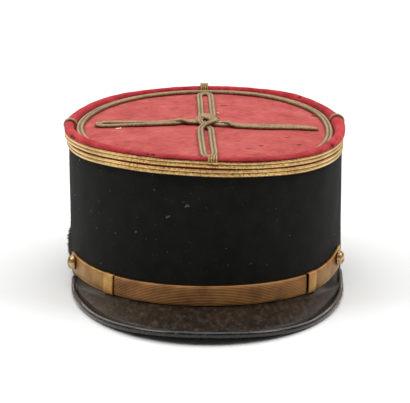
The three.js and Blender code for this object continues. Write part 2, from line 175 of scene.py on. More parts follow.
def top_height(x, y):
    """Height of the gently saddled surface that the rim's crest and the whole top follow."""
    across = (x - CREST_CENTRE[0]) / CREST_HALF_WIDTH
    along = (y - CREST_CENTRE[1]) / CREST_HALF_LENGTH
    lean = (CREST_BACK - CREST_FRONT) / 2 * along - CREST_SIDE_LEAN * x
    saddle = CREST_SADDLE[0] * (across**2 - along**2) + CREST_SADDLE[1] * 2 * across * along
    return (CREST_FRONT + CREST_BACK) / 2 + lean + saddle


def wall_line(angle):
    """Foot, head and outward directions of the straight line up the wall's outer face."""
    base = base_outline(angle)
    base_out = outward_of(base_outline, angle)
    crest_out = outward_of(crest_outline, angle)
    crest = crest_outline(angle) - crest_out * OVERHANG
    foot = np.concatenate([base, base_height(base[..., 1:])], -1)
    head = np.concatenate([crest, top_height(crest[..., :1], crest[..., 1:])], -1)
    height = np.linalg.norm(head - foot, axis=-1, keepdims=True)
    return foot, head, base_out, crest_out, height


def above_base(angle, out, up):
    """Points beside the wall: up from its lower edge, and out beyond the cloth's outer face."""
    angle, out, up = np.broadcast_arrays(*(np.asarray(v, float) for v in (angle, out, up)))
    foot, head, base_out, crest_out, height = wall_line(angle)
    share = up[..., None] / height
    direction = unit(mix(base_out, crest_out, np.clip(share, 0, 1)))
    point = mix(foot, head, share)
    point[..., :2] += direction * out[..., None]
    shift = direction[..., 1] * out
    point[..., 2] += (base_height(shift) - base_height(0)) * (1 - share[..., 0])
    return point


def from_crest(angle, out, up):
    """The same measured from the top, with up negative below its surface."""
    angle, out, up = np.broadcast_arrays(*(np.asarray(v, float) for v in (angle, out, up)))
    foot, head, _, crest_out, height = wall_line(angle)
    lean = -up[..., None] / height
    point = head.copy()
    point[..., :2] += crest_out * out[..., None]
    z = top_height(point[..., 0], point[..., 1]) + up
    point[..., :2] += (foot - head)[..., :2] * lean
    point[..., 2] = z
    return point


def pressed(angle):
    """How far wear has pressed the rim down: not at all behind and at the sides, fully in front."""
    return fade_in(-np.sin(angle), 0.5, 0.38)


def roll_rise(angle, turn):
    """Height on the roll, as a share of its own, with its upper half flatter where it is pressed."""
    return np.sin(turn) * np.where(np.sin(turn) > 0, 1 - ROLL_PRESS * pressed(angle), 1)


def front_sink(angle):
    """How much deeper the top lies along the front of the rim, and most at its two corners."""
    corners = hump(np.abs(degrees_past(angle, -90)), 48, 26)
    sink = np.clip(0.75 - 0.85 * np.sin(angle), 0, 1) + corners
    return FRONT_SINK * sink + PRESSED_SINK * pressed(angle)


def bulge(angle, up):
    """The wall swells a little on the wearer's left, up to where the braids draw it in."""
    grown = fade_in(up, 0, BRAIDS_UP) * fade_in(WALL_UP - up, 0, 3.5)
    return SIDE_BULGE * np.clip(np.cos(angle), 0, 1) ** 3 * grown


def on_disc(x, y, lift):
    return np.stack([x, y, top_height(x, y) - DISC_DROP + lift], -1)


def strap_edges(angle):
    """Lower and upper edge of the chin strap above the wall's lower edge."""
    side = np.abs(np.cos(angle))
    left, right = (rise * side**lateness for rise, lateness in (STRAP_RISE_LEFT, STRAP_RISE_RIGHT))
    centre = STRAP_CENTRE_UP + np.where(np.cos(angle) < 0, left, right)
    half = STRAP_HALF_HEIGHT + STRAP_FLARE * side**4
    return centre - half, centre + half


def near_horn(angle):
    """From 0 to 1 towards the two ends of the peak's edge."""
    from_end = np.minimum(angle, math.pi - angle) - math.radians(BEAD_HORN_ANGLE)
    return np.clip(1 - from_end / math.radians(HORN_SPAN), 0, 1.05)


def peak_outline(angle):
    """Centre line of the peak's edge, seen from above, from 0 at the right to pi at the left."""
    cosine, sine = np.cos(angle), np.abs(np.sin(angle))
    side = PEAK_HALF_WIDTH * np.sign(cosine) * np.abs(cosine) ** (2 / PEAK_SQUARENESS[0])
    forward = sine ** (2 / PEAK_SQUARENESS[1])
    y = PEAK_ROOT_Y - (PEAK_REACH - PEAK_SWING * side) * forward
    side = side - np.sign(cosine) * HORN_IN * near_horn(angle) ** 1.5
    return np.stack([PEAK_CENTRE_X + side, y], -1)


def peak_outward(angle):
    return -outward_of(peak_outline, angle)


def arch_lift(x):
    """How far the underside of the peak's edge stands above the surface."""
    away = np.minimum(1, np.abs(x - ARCH_CENTRE_X) / ARCH_HALF_SPAN)
    return ARCH_LIFT * (1 - away**2) ** 1.5


def horn_lift(angle):
    """How far the ends of the peak's edge rise beside the wall."""
    lift = np.where(angle < math.pi / 2, HORN_LIFT_RIGHT, HORN_LIFT_LEFT)
    return lift * near_horn(angle) ** 2.2


def smooth_path(points, count=400):
    """A smooth curve through a few points, as many rows of the same columns."""
    points = np.array(points, float)
    steps = np.linalg.norm(np.diff(points[:, :2], axis=0), axis=1) ** 0.5
    knots = np.append(0, np.cumsum(steps))
    slopes = np.gradient(points, knots, axis=0)
    t = np.linspace(0, knots[-1], count)
    i = np.clip(np.searchsorted(knots, t, "right") - 1, 0, len(knots) - 2)
    span = (knots[i + 1] - knots[i])[:, None]
    s = ((t - knots[i]) / span[:, 0])[:, None]
    start = points[i] * (1 + 2 * s) * (1 - s) ** 2 + slopes[i] * span * s * (1 - s) ** 2
    end = points[i + 1] * s**2 * (3 - 2 * s) + slopes[i + 1] * span * s**2 * (s - 1)
    return start + end


def ripple(angle, up, folds, seed):
    """Soft unevenness round the cap, about -1 to 1: a few slow waves that lean as they rise."""
    draw = np.random.default_rng(seed)
    total = 0
    for fold in folds:
        phase, lean = draw.uniform(0, TURN), draw.uniform(-0.06, 0.06)
        total = total + np.sin(fold * angle + phase + lean * up)
    return total / math.sqrt(len(folds))


# ------------------------------------------------------------------ meshes


def running_length(line, closed=False):
    """Length from the start to each point of a line, and on to its start if it is closed."""
    if closed:
        line = np.concatenate([line, line[:1]])
    return np.append(0, np.cumsum(np.linalg.norm(np.diff(line, axis=0), axis=1)))


def even_stations(line, spacing, closed=False):
    """Shares from 0 to 1 at even lengths along a line, the length at each, and the line's own."""
    shares = np.linspace(0, 1, 4001)
    lengths = running_length(line(shares))
    count = max(2, round(lengths[-1] / spacing))
    along = np.linspace(0, lengths[-1], count + 1)
    if closed:
        along = along[:-1]
    return np.interp(along, lengths, shares), along, lengths[-1]


def make_piece(name, points, faces, material, masks=None, smooth=True, weld=False):
    """A mesh from points in millimetres, with its faces turned outwards. Welding joins the points
    that lie on one spot, such as the many at the middle of a disc."""
    mesh = bpy.data.meshes.new(name)
    mesh.from_pydata(((np.asarray(points) + AXES_AT) * MM).tolist(), [], faces)
    for mask, values in (masks or {}).items():
        layer = mesh.attributes.new(mask, "FLOAT", "POINT")
        layer.data.foreach_set("value", np.asarray(values, np.float32).ravel())
    work = bmesh.new()
    work.from_mesh(mesh)
    if weld:
        bmesh.ops.remove_doubles(work, verts=work.verts, dist=1e-6)
    bmesh.ops.recalc_face_normals(work, faces=work.faces)
    work.to_mesh(mesh)
    work.free()
    mesh.polygons.foreach_set("use_smooth", [smooth] * len(mesh.polygons))
    mesh.materials.append(material)
    piece = bpy.data.objects.new(name, mesh)
    bpy.context.scene.collection.objects.link(piece)
    return piece


def skin_faces(rows, cols, close_along, close_across, first=0):
    i = np.arange(rows if close_along else rows - 1)[:, None]
    j = np.arange(cols if close_across else cols - 1)[None, :]
    i_next, j_next = (i + 1) % rows, (j + 1) % cols
    corners = [i * cols + j, i_next * cols + j, i_next * cols + j_next, i * cols + j_next]
    return (np.stack(corners, -1).reshape(-1, 4) + first).tolist()


def skin(grid, close_along=False, close_across=True, first=0):
    """Points and faces of a grid of sections. Sections that don't come round get end faces."""
    rows, cols = grid.shape[:2]
    faces = skin_faces(rows, cols, close_along, close_across, first)
    if close_across and not close_along:
        faces.append([first + j for j in range(cols)])
        faces.append([first + (rows - 1) * cols + j for j in range(cols)])
    return grid.reshape(-1, 3), faces


def joined(parts):
    """Several grids as one list of points and faces."""
    points, faces = [], []
    for grid in parts:
        more, more_faces = skin(grid, first=sum(len(p) for p in points))
        points.append(more)
        faces += more_faces
    return np.concatenate(points), faces


def sew_on(piece, slot, *nodes):
    """Fixes a piece to the cap, in place of the named nodes of the construction."""
    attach(piece, "root")
    if nodes:
        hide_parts(*nodes)


# ------------------------------------------------------------------ materials


def paint(code):
    """A colour from its sRGB hex code, as linear red, green, blue and alpha."""
    shares = [int(code[i : i + 2], 16) / 255 for i in (1, 3, 5)]
    linear = [c / 12.92 if c <= 0.04045 else ((c + 0.055) / 1.055) ** 2.4 for c in shares]
    return (*linear, 1)


def add(material, kind, inputs=None, ramp=None, **settings):
    """Adds a node: its settings, its inputs as values or links, and the stops of its ramp."""
    tree = material.node_tree
    node = tree.nodes.new("ShaderNode" + kind)
    for name, value in settings.items():
        setattr(node, name, value)
    for name, value in (inputs or {}).items():
        if isinstance(value, bpy.types.NodeSocket):
            tree.links.new(value, node.inputs[name])
        else:
            node.inputs[name].default_value = value
    for i, (place, colour) in enumerate(ramp or ()):
        stops = node.color_ramp.elements
        stop = stops[i] if i < len(stops) else stops.new(place)
        stop.position, stop.color = place, colour
    return node


def blank(name):
    """A material with only its output node."""
    material = bpy.data.materials.new(name)
    material.use_nodes = True
    material.node_tree.nodes.clear()
    return material


def per(size):
    """Scale of a pattern in metres whose features are this many millimetres wide."""
    return 1 / (size * MM)


A, B = 6, 7  # the colour inputs of a mix node


def finish(material, **inputs):
    """The material's one shader: keys are its input names with _ for a space."""
    named = {name.replace("_", " "): value for name, value in inputs.items()}
    shader = add(material, "BsdfPrincipled", named)
    add(material, "OutputMaterial", {"Surface": shader.outputs[0]})
    return material


def black_melton_wool():
    """Melton wool, woven, milled and napped, dyed black: dead matt, with a bloom of raised fibres
    towards the edges, faint cloudiness, and specks of dust and lint caught in the nap."""
    m = blank("black melton wool, napped")
    place = add(m, "TexCoord").outputs["Object"]
    nap = add(m, "TexNoise", {"Vector": place, "Scale": per(0.9), "Detail": 3.0})
    clouds = add(m, "TexNoise", {"Vector": place, "Scale": per(9), "Detail": 4.0})
    dust = add(m, "TexNoise", {"Vector": place, "Scale": per(1.6), "Detail": 2.0, "Roughness": 0.8})
    cloth = add(
        m, "ValToRGB", {"Fac": clouds.outputs["Fac"]},
        ramp=[(0.35, paint("#0b0b0a")), (0.7, paint("#141412"))],
    )
    specks = add(
        m, "ValToRGB", {"Fac": dust.outputs["Fac"]},
        ramp=[(0.66, paint("#000000")), (0.76, paint("#5a5a55"))],
    )
    worn = add(m, "Attribute", attribute_name="worn")
    dusty = add(
        m, "Mix", {0: 0.35, A: cloth.outputs[0], B: specks.outputs[0]}, data_type="RGBA",
        blend_type="ADD",
    )
    colour = add(
        m, "Mix", {0: worn.outputs["Fac"], A: dusty.outputs[2], B: paint("#2c2a28")}, data_type="RGBA",
    )
    bump = add(m, "Bump", {"Height": nap.outputs["Fac"], "Distance": 0.0006, "Strength": 0.6})
    return finish(
        m, Base_Color=colour.outputs[2], Roughness=0.95, Specular_IOR_Level=0.25, Sheen_Weight=0.055,
        Sheen_Roughness=0.45, Sheen_Tint=paint("#b4b4ac"), Normal=bump.outputs[0],
    )


def madder_wool(name, cloth, faded, deep, sheen):
    """Broadcloth dyed with madder, milled and napped: matt, faded unevenly by light, with the
    faint crosswise lines of its weave."""
    m = blank(name)
    place = add(m, "TexCoord").outputs["Object"]
    stretched = add(m, "Mapping", {"Vector": place, "Scale": (0.2, 1.0, 1.0)})
    # The real threads, 0.4 mm apart, are drawn 0.8 mm apart.
    weave = add(m, "TexNoise", {"Vector": stretched.outputs[0], "Scale": per(0.8), "Detail": 3.0})
    clouds = add(m, "TexNoise", {"Vector": place, "Scale": per(14), "Detail": 5.0})
    nap = add(m, "TexNoise", {"Vector": place, "Scale": per(0.7), "Detail": 3.0})
    base = add(
        m, "ValToRGB", {"Fac": clouds.outputs["Fac"]},
        ramp=[(0.25, paint(deep)), (0.5, paint(cloth)), (0.8, paint(faded))],
    )
    lines = add(
        m, "ValToRGB", {"Fac": weave.outputs["Fac"]},
        ramp=[(0.36, paint("#bfb5b5")), (0.56, paint("#ffffff"))],
    )
    threads = add(
        m, "Mix", {0: 0.8, A: base.outputs[0], B: lines.outputs[0]}, data_type="RGBA",
        blend_type="MULTIPLY",
    )
    bare = add(m, "Attribute", attribute_name="bare")
    colour = add(
        m, "Mix", {0: bare.outputs["Fac"], A: threads.outputs[2], B: paint("#3d1512")}, data_type="RGBA",
    )
    height = add(m, "Math", {0: nap.outputs["Fac"], 1: weave.outputs["Fac"]}, operation="ADD")
    bump = add(m, "Bump", {"Height": height.outputs[0], "Distance": 0.0004, "Strength": 0.5})
    return finish(
        m, Base_Color=colour.outputs[2], Roughness=0.92, Specular_IOR_Level=0.2, Sheen_Weight=sheen,
        Sheen_Roughness=0.4, Sheen_Tint=paint("#ff9d98"), Normal=bump.outputs[0],
    )


def metal_thread_braid(name, groove, thread, bright, tarnish, shine, roughness, sheen):
    """Flat braid wound with gilt thread: every thread's crest is painted bright, a painted glint,
    and the grooves between ribs are painted dark, a painted shade; tarnish lies over it in soft
    patches, and the threads' rounds catch the light where the braid turns away."""
    m = blank(name)
    place = add(m, "TexCoord").outputs["Object"]
    relief = add(m, "Attribute", attribute_name="relief")
    patches = add(m, "TexNoise", {"Vector": place, "Scale": per(17), "Detail": 3.0})
    grain = add(m, "TexNoise", {"Vector": place, "Scale": per(0.9), "Detail": 2.0})
    loose = add(m, "MapRange", {0: grain.outputs["Fac"], 1: 0.35, 2: 0.65, 3: -0.3, 4: 0.3})
    height = add(m, "Math", {0: loose.outputs[0], 1: relief.outputs["Fac"]}, operation="ADD")
    # Painted shade and glints: the relief turns dark in the grooves and bright on the thread crests.
    wound = add(
        m, "ValToRGB", {"Fac": height.outputs[0]},
        ramp=[(0.1, paint(groove)), (0.5, paint(thread)), (0.95, paint(bright))],
    )
    cover = add(
        m, "ValToRGB", {"Fac": patches.outputs["Fac"]},
        ramp=[(0.42, paint("#000000")), (0.68, paint("#b0b0b0"))],
    )
    colour = add(
        m, "Mix", {0: cover.outputs[0], A: wound.outputs[0], B: paint(tarnish)}, data_type="RGBA",
        blend_type="MULTIPLY",
    )
    bump = add(m, "Bump", {"Height": grain.outputs["Fac"], "Distance": 0.0002, "Strength": 0.5})
    return finish(
        m, Base_Color=colour.outputs[2], Metallic=shine, Roughness=roughness, Sheen_Weight=sheen,
        Sheen_Roughness=0.3, Sheen_Tint=paint("#ffdc9c"), Normal=bump.outputs[0],
    )


def lacquered_leather(name, flat, ridge, stain, roughness):
    """Leather pressed into shape and gilded with bronze powder under lacquer: a soft metallic
    gleam, gone brown where it was handled, with fine grain; its ridges and edges are painted pale, as
    highlights, and its furrows dark, as shade."""
    m = blank(name)
    place = add(m, "TexCoord").outputs["Object"]
    relief = add(m, "Attribute", attribute_name="relief")
    clouds = add(m, "TexNoise", {"Vector": place, "Scale": per(11), "Detail": 5.0})
    grain = add(m, "TexNoise", {"Vector": place, "Scale": per(0.6), "Detail": 3.0})
    # Painted highlights and shade: the relief mixes towards the ridge colour on ridges and rails, and
    # towards the flat colour in furrows.
    pressed = add(m, "Mix", {0: relief.outputs["Fac"], A: paint(flat), B: paint(ridge)}, data_type="RGBA")
    cover = add(
        m, "ValToRGB", {"Fac": clouds.outputs["Fac"]},
        ramp=[(0.38, paint("#ffffff")), (0.66, paint(stain))],
    )
    colour = add(
        m, "Mix", {0: 1.0, A: pressed.outputs[2], B: cover.outputs[0]}, data_type="RGBA",
        blend_type="MULTIPLY",
    )
    bump = add(m, "Bump", {"Height": grain.outputs["Fac"], "Distance": 0.0001, "Strength": 0.4})
    return finish(
        m, Base_Color=colour.outputs[2], Metallic=0.3, Roughness=roughness, Normal=bump.outputs[0],
    )


def gilt_brass():
    """Brass stamped into a dome and thinly gilt: a warm metal, dulled by handling, with brown
    tarnish in small patches."""
    m = blank("stamped gilt brass, tarnished")
    place = add(m, "TexCoord").outputs["Object"]
    patches = add(m, "TexNoise", {"Vector": place, "Scale": per(2.2), "Detail": 4.0})
    colour = add(
        m, "ValToRGB", {"Fac": patches.outputs["Fac"]},
        ramp=[(0.4, paint("#d3b386")), (0.62, paint("#8d6b47"))],
    )
    rough = add(m, "MapRange", {0: patches.outputs["Fac"], 1: 0.35, 2: 0.7, 3: 0.3, 4: 0.55})
    bump = add(m, "Bump", {"Height": patches.outputs["Fac"], "Distance": 0.0003, "Strength": 0.4})
    return finish(
        m, Base_Color=colour.outputs[0], Metallic=1.0, Roughness=rough.outputs[0], Normal=bump.outputs[0],
    )


def patent_leather(name, dark, brown, worn, dust_amount, roughness, coat, coat_roughness, uneven):
    """Patent leather, lacquered black over brown and long since crazed: a broken gloss, brown where
    the lacquer has thinned, rubbed in streaks, with pale specks painted in as glints off the crazing, and
    grey dust towards the sides."""
    m = blank(name)
    place = add(m, "TexCoord").outputs["Object"]
    clouds = add(m, "TexNoise", {"Vector": place, "Scale": per(9), "Detail": 6.0, "Roughness": 0.65})
    crackle = add(m, "TexVoronoi", {"Vector": place, "Scale": per(2.4)}, feature="DISTANCE_TO_EDGE")
    grit = add(m, "TexNoise", {"Vector": place, "Scale": per(0.9), "Detail": 2.0, "Roughness": 0.8})
    spots = add(m, "TexNoise", {"Vector": place, "Scale": per(1.7), "Detail": 1.0})
    stretched = add(m, "Mapping", {"Vector": place, "Scale": (1.0, 0.35, 1.0)})
    rubs = add(m, "TexNoise", {"Vector": stretched.outputs[0], "Scale": per(2.6), "Detail": 5.0})
    lacquer = add(
        m, "ValToRGB", {"Fac": clouds.outputs["Fac"]},
        ramp=[(0.38, paint(dark)), (0.52, paint(brown)), (0.68, paint(worn))],
    )
    rubbed = add(
        m, "ValToRGB", {"Fac": rubs.outputs["Fac"]},
        ramp=[(0.5, paint("#000000")), (0.75, paint("#2e2823"))],
    )
    # Pale specks painted into the colour: painted glints off the crazed lacquer.
    specks = add(
        m, "ValToRGB", {"Fac": spots.outputs["Fac"]},
        ramp=[(0.72, paint("#000000")), (0.78, paint("#6a6258"))],
    )
    streaked = add(
        m, "Mix", {0: 1.0, A: lacquer.outputs[0], B: rubbed.outputs[0]}, data_type="RGBA",
        blend_type="ADD",
    )
    specked = add(
        m, "Mix", {0: 1.0, A: streaked.outputs[2], B: specks.outputs[0]}, data_type="RGBA",
        blend_type="ADD",
    )
    settled = add(m, "Attribute", attribute_name="dust")
    amount = add(m, "MapRange", {0: grit.outputs["Fac"], 1: 0.4, 2: 0.65, 3: 0.0, 4: dust_amount})
    cover = add(m, "Math", {0: settled.outputs["Fac"], 1: amount.outputs[0]}, operation="MULTIPLY")
    colour = add(
        m, "Mix", {0: cover.outputs[0], A: specked.outputs[2], B: paint("#94836f")}, data_type="RGBA",
    )
    # Painted shade: the groove mask darkens the pressed lines, the root against the wall and the
    # underside.
    groove = add(m, "Attribute", attribute_name="groove")
    lined = add(
        m, "Mix", {0: groove.outputs["Fac"], A: colour.outputs[2], B: paint("#080706")}, data_type="RGBA",
    )
    dull = add(m, "MapRange", {0: rubs.outputs["Fac"], 1: 0.4, 2: 0.65, 3: roughness, 4: 0.6})
    cracks = add(m, "MapRange", {0: crackle.outputs["Distance"], 1: 0.0, 2: 0.08, 3: 0.0, 4: 1.0})
    fine = add(m, "Bump", {"Height": clouds.outputs["Fac"], "Distance": uneven * MM, "Strength": 0.35})
    bump = add(
        m, "Bump",
        {"Height": cracks.outputs[0], "Distance": 0.0001, "Strength": 0.3, "Normal": fine.outputs[0]},
    )
    return finish(
        m, Base_Color=lined.outputs[2], Roughness=dull.outputs[0], Specular_IOR_Level=0.25,
        Coat_Weight=coat, Coat_Roughness=coat_roughness, Normal=bump.outputs[0],
    )


def plain_fibre(name, colour):
    """Loose wool or linen fibre: one dull colour, varied a little from fibre to fibre."""
    m = blank(name)
    place = add(m, "TexCoord").outputs["Object"]
    spread = add(m, "TexNoise", {"Vector": place, "Scale": per(3), "Detail": 1.0})
    value = add(m, "MapRange", {0: spread.outputs["Fac"], 1: 0.35, 2: 0.65, 3: 0.75, 4: 1.2})
    shade = add(m, "HueSaturation", {"Color": paint(colour), "Value": value.outputs[0]})
    return finish(m, Base_Color=shade.outputs[0], Roughness=0.9, Sheen_Weight=0.2)


black_wool = black_melton_wool()
top_wool = madder_wool("madder wool, faded", "#bc534e", "#ca6862", "#ab4340", 0.25)
rim_wool = madder_wool("madder wool, little faded", "#b92f38", "#da4f51", "#98232c", 0.27)
gilt_braid = metal_thread_braid(
    "gilt thread braid, dulled", "#624019", "#b48446", "#f8d494", "#a8906a", shine=0.8,
    roughness=0.4, sheen=0.5,
)
worn_braid = metal_thread_braid(
    "gilt thread braid, rubbed", "#3a2410", "#8e6a3c", "#bf9a5c", "#a08a68", shine=0.35,
    roughness=0.5, sheen=0.1,
)
dull_braid = metal_thread_braid(
    "gilt thread braid, tarnished", "#4b3925", "#886d4c", "#ae9168", "#9fa38a", shine=0.25,
    roughness=0.6, sheen=0.0,
)
ribbed_leather = lacquered_leather("ribbed gilt leather", "#7d4c1e", "#cc954c", "#c4b6a6", 0.5)
plain_leather = lacquered_leather("smooth gilt leather", "#9f7330", "#e6b566", "#d0b090", 0.4)
brass = gilt_brass()
peak_leather = patent_leather(
    "patent leather, crazed", "#0d0906", "#1d140b", "#302213", dust_amount=0.35, roughness=0.4,
    coat=0.1, coat_roughness=0.14, uneven=0.8,
)
bead_leather = patent_leather(
    "patent leather, rolled", "#080807", "#0e0d0c", "#171512", dust_amount=0.5, roughness=0.2,
    coat=0.55, coat_roughness=0.06, uneven=0.15,
)

# ------------------------------------------------------------------ cloth

# The moth-eaten patch of the wall: its middle, and how far it reaches round and up.
RAGGED = {"angle": -176, "up": 15, "half_angle": 6, "half_up": 9}


def ragged_patch(angle, up):
    """From 0 to 1: how far the cloth is torn up at a place on the wall."""
    turned = degrees_past(angle, RAGGED["angle"])
    reach = (turned / RAGGED["half_angle"]) ** 2 + ((up - RAGGED["up"]) / RAGGED["half_up"]) ** 2
    tatter = 0.75 + 0.25 * np.sin(turned * 2.3 + up * 1.1) * np.cos(up * 1.7)
    return np.clip(1.3 * np.exp(-(reach**2)) * tatter, 0, 1)


def wool_wall():
    """The stiff cloth wall: its outer face is faintly uneven, with a seam down the back, and the
    moths have raised a ragged patch low on the wearer's right."""
    seam_depth, seam_degrees, fray_rise = 0.45, 0.5, 1.4
    angle = all_round(560)[:, None]
    share = np.linspace(0, 1, 64)[None, :]
    hem = 0.8  # the rounded lower edge, below the straight wall
    up = share * WALL_UP
    uneven = 0.28 * ripple(angle, up, (2, 3, 5, 8), 3) + 0.1 * ripple(angle, up * 3, (14, 19, 26), 4)
    seam = -seam_depth * hump(np.degrees(angle - TURN / 4), 0, seam_degrees)
    frayed = ragged_patch(angle, up)
    fade = fade_in(up, 0, 6) * fade_in(WALL_UP - up, 0, 12)
    nap = np.random.default_rng(11).normal(0, 0.02, frayed.shape)
    out = (uneven + seam + nap) * fade + frayed * fray_rise + bulge(angle, up)
    outer = above_base(angle, out, up + hem)
    swell = bulge(angle, WALL_UP)
    head = -WALL_TOP_DROP - PRESSED_SINK * pressed(angle)
    top = from_crest(angle, np.array([[0.0, -CLOTH_THICKNESS]]) + swell, head)
    outer[:, -1] = top[:, 0]
    inner_up = share[:, ::-3] * WALL_UP
    inner = above_base(angle, bulge(angle, inner_up) - CLOTH_THICKNESS, inner_up + hem)
    inner[:, 0] = top[:, 1]
    turn = np.radians(np.array([[200, 235, 270, 305, 340]]))
    edge_out = -CLOTH_THICKNESS / 2 * (1 + np.cos(turn))
    edge = above_base(angle, edge_out, hem * (1 + np.sin(turn)))
    grid = np.concatenate([outer, inner, edge], 1)
    worn = np.zeros(grid.shape[:2])
    worn[:, : up.shape[1]] = frayed
    points, faces = skin(grid, close_along=True)
    wall = make_piece("wool_wall", points, faces, black_wool, {"worn": worn})
    sew_on(wall, "black_wool", "cloth_band")


# Thicker places of the roll: degrees round from the wearer's left, half breadth in degrees, and
# how much thicker as a share.
ROLL_LUMPS = ((2, 11, 0.3), (42, 14, 0.16), (137, 14, 0.16))

# Moth holes in the rim: angle on the oval, turn round the roll, and radius in millimetres.
RIM_HOLES = (
    (-113.6, 40, 2.0), (-115.6, 30, 1.5), (-156.6, 15, 1.6), (-154.2, 5, 1.7), (-29.5, 60, 1.0),
    (-36.5, 25, 1.6), (-95.0, 80, 0.8), (-62.0, 70, 0.7), (150.0, 20, 1.3), (38.0, 120, 1.1),
)


def roll_fullness(angle, turn):
    """How full the roll is at a place, as a share: uneven all round, with a few lumps."""
    full = 1 + 0.035 * ripple(angle, 0, (3, 5, 9, 14), 5) + 0.02 * ripple(angle, turn * 9, (31, 43), 6)
    for place, width, swell in ROLL_LUMPS:
        full = full + swell * hump(degrees_past(angle, 0), place, width)
    return full


def rim_holes(angle, turn):
    """Depth of the moth holes in the roll, and from 0 to 1 how bare they leave it."""
    crest_radius, roll_radius, depth = 94, 3, 0.8
    dent, bare = 0.0, np.zeros(np.broadcast(angle, turn).shape)
    for hole_angle, hole_turn, radius in RIM_HOLES:
        aside = np.radians(degrees_past(angle, hole_angle)) * crest_radius
        round_roll = np.radians(np.degrees(turn) - hole_turn) * roll_radius
        inside = np.exp(-((np.hypot(aside, round_roll) / radius) ** 4))
        dent = dent + depth * inside
        bare = np.maximum(bare, inside)
    return dent, bare


def red_rim():
    """The firm roll of the rim, the skirt behind the rank braids and the seam allowance under the
    disc."""
    steps, sides = 640, 44
    angle = all_round(steps)[:, None]
    turn = np.radians(np.linspace(-4, 205, sides))[None, :]
    full = roll_fullness(angle, turn)
    dent, bare = rim_holes(angle, turn)
    bare = np.maximum(bare, 0.26 * pressed(angle))  # soiled where hands have pressed it
    out = ROLL_OUT + (ROLL_HALF_WIDTH * full - dent) * np.cos(turn)
    up = (ROLL_HALF_HEIGHT * full - dent) * roll_rise(angle, turn) - ROLL_HALF_HEIGHT
    roll = from_crest(angle, out, up)
    ledge_top = -(DISC_DROP + DISC_THICKNESS + GAP)
    under = ledge_top - LEDGE_THICKNESS
    corners = [
        (DISC_EDGE_OUT + GAP, ledge_top), (LEDGE_OUT, ledge_top), (LEDGE_OUT, under), (GAP, under),
        (GAP, -SKIRT_DROP), (GAP + SKIRT, -SKIRT_DROP),
    ]
    skirt_up = np.linspace(-SKIRT_DROP + 0.5, -RANK_FIRST_DROP + 0.4, 8)
    corners += [(GAP + SKIRT, z) for z in skirt_up]
    back_out, back_up = np.array(corners).T[:, None, :]
    squeeze = mix(tuck(angle, 0), tuck(angle, 1), fade_in(-back_up, 6, 5))
    squeeze = squeeze * (back_up < -RANK_FIRST_DROP)
    sink = front_sink(angle) * (np.arange(len(corners)) < 3)
    back = from_crest(angle, back_out - squeeze, back_up - sink)
    grid = np.concatenate([roll, back], 1)
    mask = np.concatenate([bare, np.zeros(back.shape[:2])], 1)
    points, faces = skin(grid, close_along=True)
    rim = make_piece("red_rim", points, faces, rim_wool, {"bare": mask})
    sew_on(rim, "red_wool", "crown_rim")


def tuck(angle, row):
    """How far the upper or the lower rank braid is drawn in at the cap's two sides."""
    left, right = (0.7, 0.9)[row], (0.0, 1.3)[row]
    return np.where(np.cos(angle) > 0, left, right) * hump(np.sin(angle), 0, 0.5)


def red_disc():
    """The sunken top: stiff cloth that sags a little between the knot and the ring."""
    steps = 420
    angle = all_round(steps)[:, None]
    share = np.linspace(0, 1, 110)[None, :] ** 0.85
    edge = from_crest(angle, DISC_EDGE_OUT, -DISC_DROP)
    sink = front_sink(angle) * fade_in(share, 0.8, 0.14) ** 1.5
    x = mix(CREST_CENTRE[0], edge[..., 0], share)
    y = mix(CREST_CENTRE[1], edge[..., 1], share)
    ring = hump(share, 0.93, 0.06)
    waves = np.sin(x * 0.11 + 0.5) * np.sin(y * 0.08 + 1.0) + 0.5 * np.sin(x * 0.23 - y * 0.17)
    lift = 0.22 * waves * np.clip(6 * (1 - share), 0, 1) - 0.3 * (1 - share**2) + 0.15 * ring
    top = on_disc(x, y, lift - sink)
    below = on_disc(x[:, -1:], y[:, -1:], -DISC_THICKNESS - sink[:, -1:])
    grid = np.concatenate([top, below], 1)
    points, faces = skin(grid, close_along=True, close_across=False)
    cols = grid.shape[1]
    faces.append([row * cols + cols - 1 for row in range(steps)])
    disc = make_piece("red_disc", points, faces, top_wool, weld=True)
    sew_on(disc, "red_wool", "crown_disc")


# ------------------------------------------------------------------ braids

# The real threads lie 0.5 mm apart; they are laid 1 mm apart so that they show.
THREAD_PITCH = 1.0
THREAD_RISE = 0.1


def braid_section(width, thickness, ribs, side_relief, per_rib=7):
    """A flat braid's section: across, up and relief, round its ribbed top and flat underside."""
    count = ribs * per_rib + 1
    across = np.linspace(-width / 2, width / 2, count)
    # The relief is painted into the colour: low in the grooves between ribs, a painted shade, and high on
    # the ribs; side_relief sets how dark the sides are painted.
    relief = np.abs(np.sin(np.pi * ribs * (across / width + 0.5))) ** 0.7
    up = thickness * (0.5 + 0.5 * relief)
    on_side = np.abs(across) > width / 2 * (1 - 1 / ribs)
    relief = np.where(on_side, np.maximum(relief, side_relief), relief)
    across = np.concatenate([across, [width / 2 - 0.15, -width / 2 + 0.15]])
    return across, np.append(up, [0, 0]), np.append(relief, [side_relief, side_relief])


def lay_braid(line, place, width, thickness, ribs, closed=False, side_relief=0.6):
    """Grid and relief of a braid along a line. place(share, across, up) puts its points."""
    share, along, length = even_stations(line, THREAD_PITCH / 4, closed)
    across, up, relief = braid_section(width, thickness, ribs, side_relief)
    pitch = length / round(length / THREAD_PITCH)
    rib = width / ribs
    slanted = np.abs((across / rib + ribs % 2 / 2) % 2 - 1) * rib
    thread = 0.5 + 0.5 * np.cos(TURN * (along[:, None] + 0.8 * slanted) / pitch)
    lift = up + THREAD_RISE * thread * relief
    grid = place(share[:, None], across[None, :], lift)
    # Each thread's crest raises the relief a little: a painted glint.
    return grid, relief * (0.76 + 0.24 * thread)


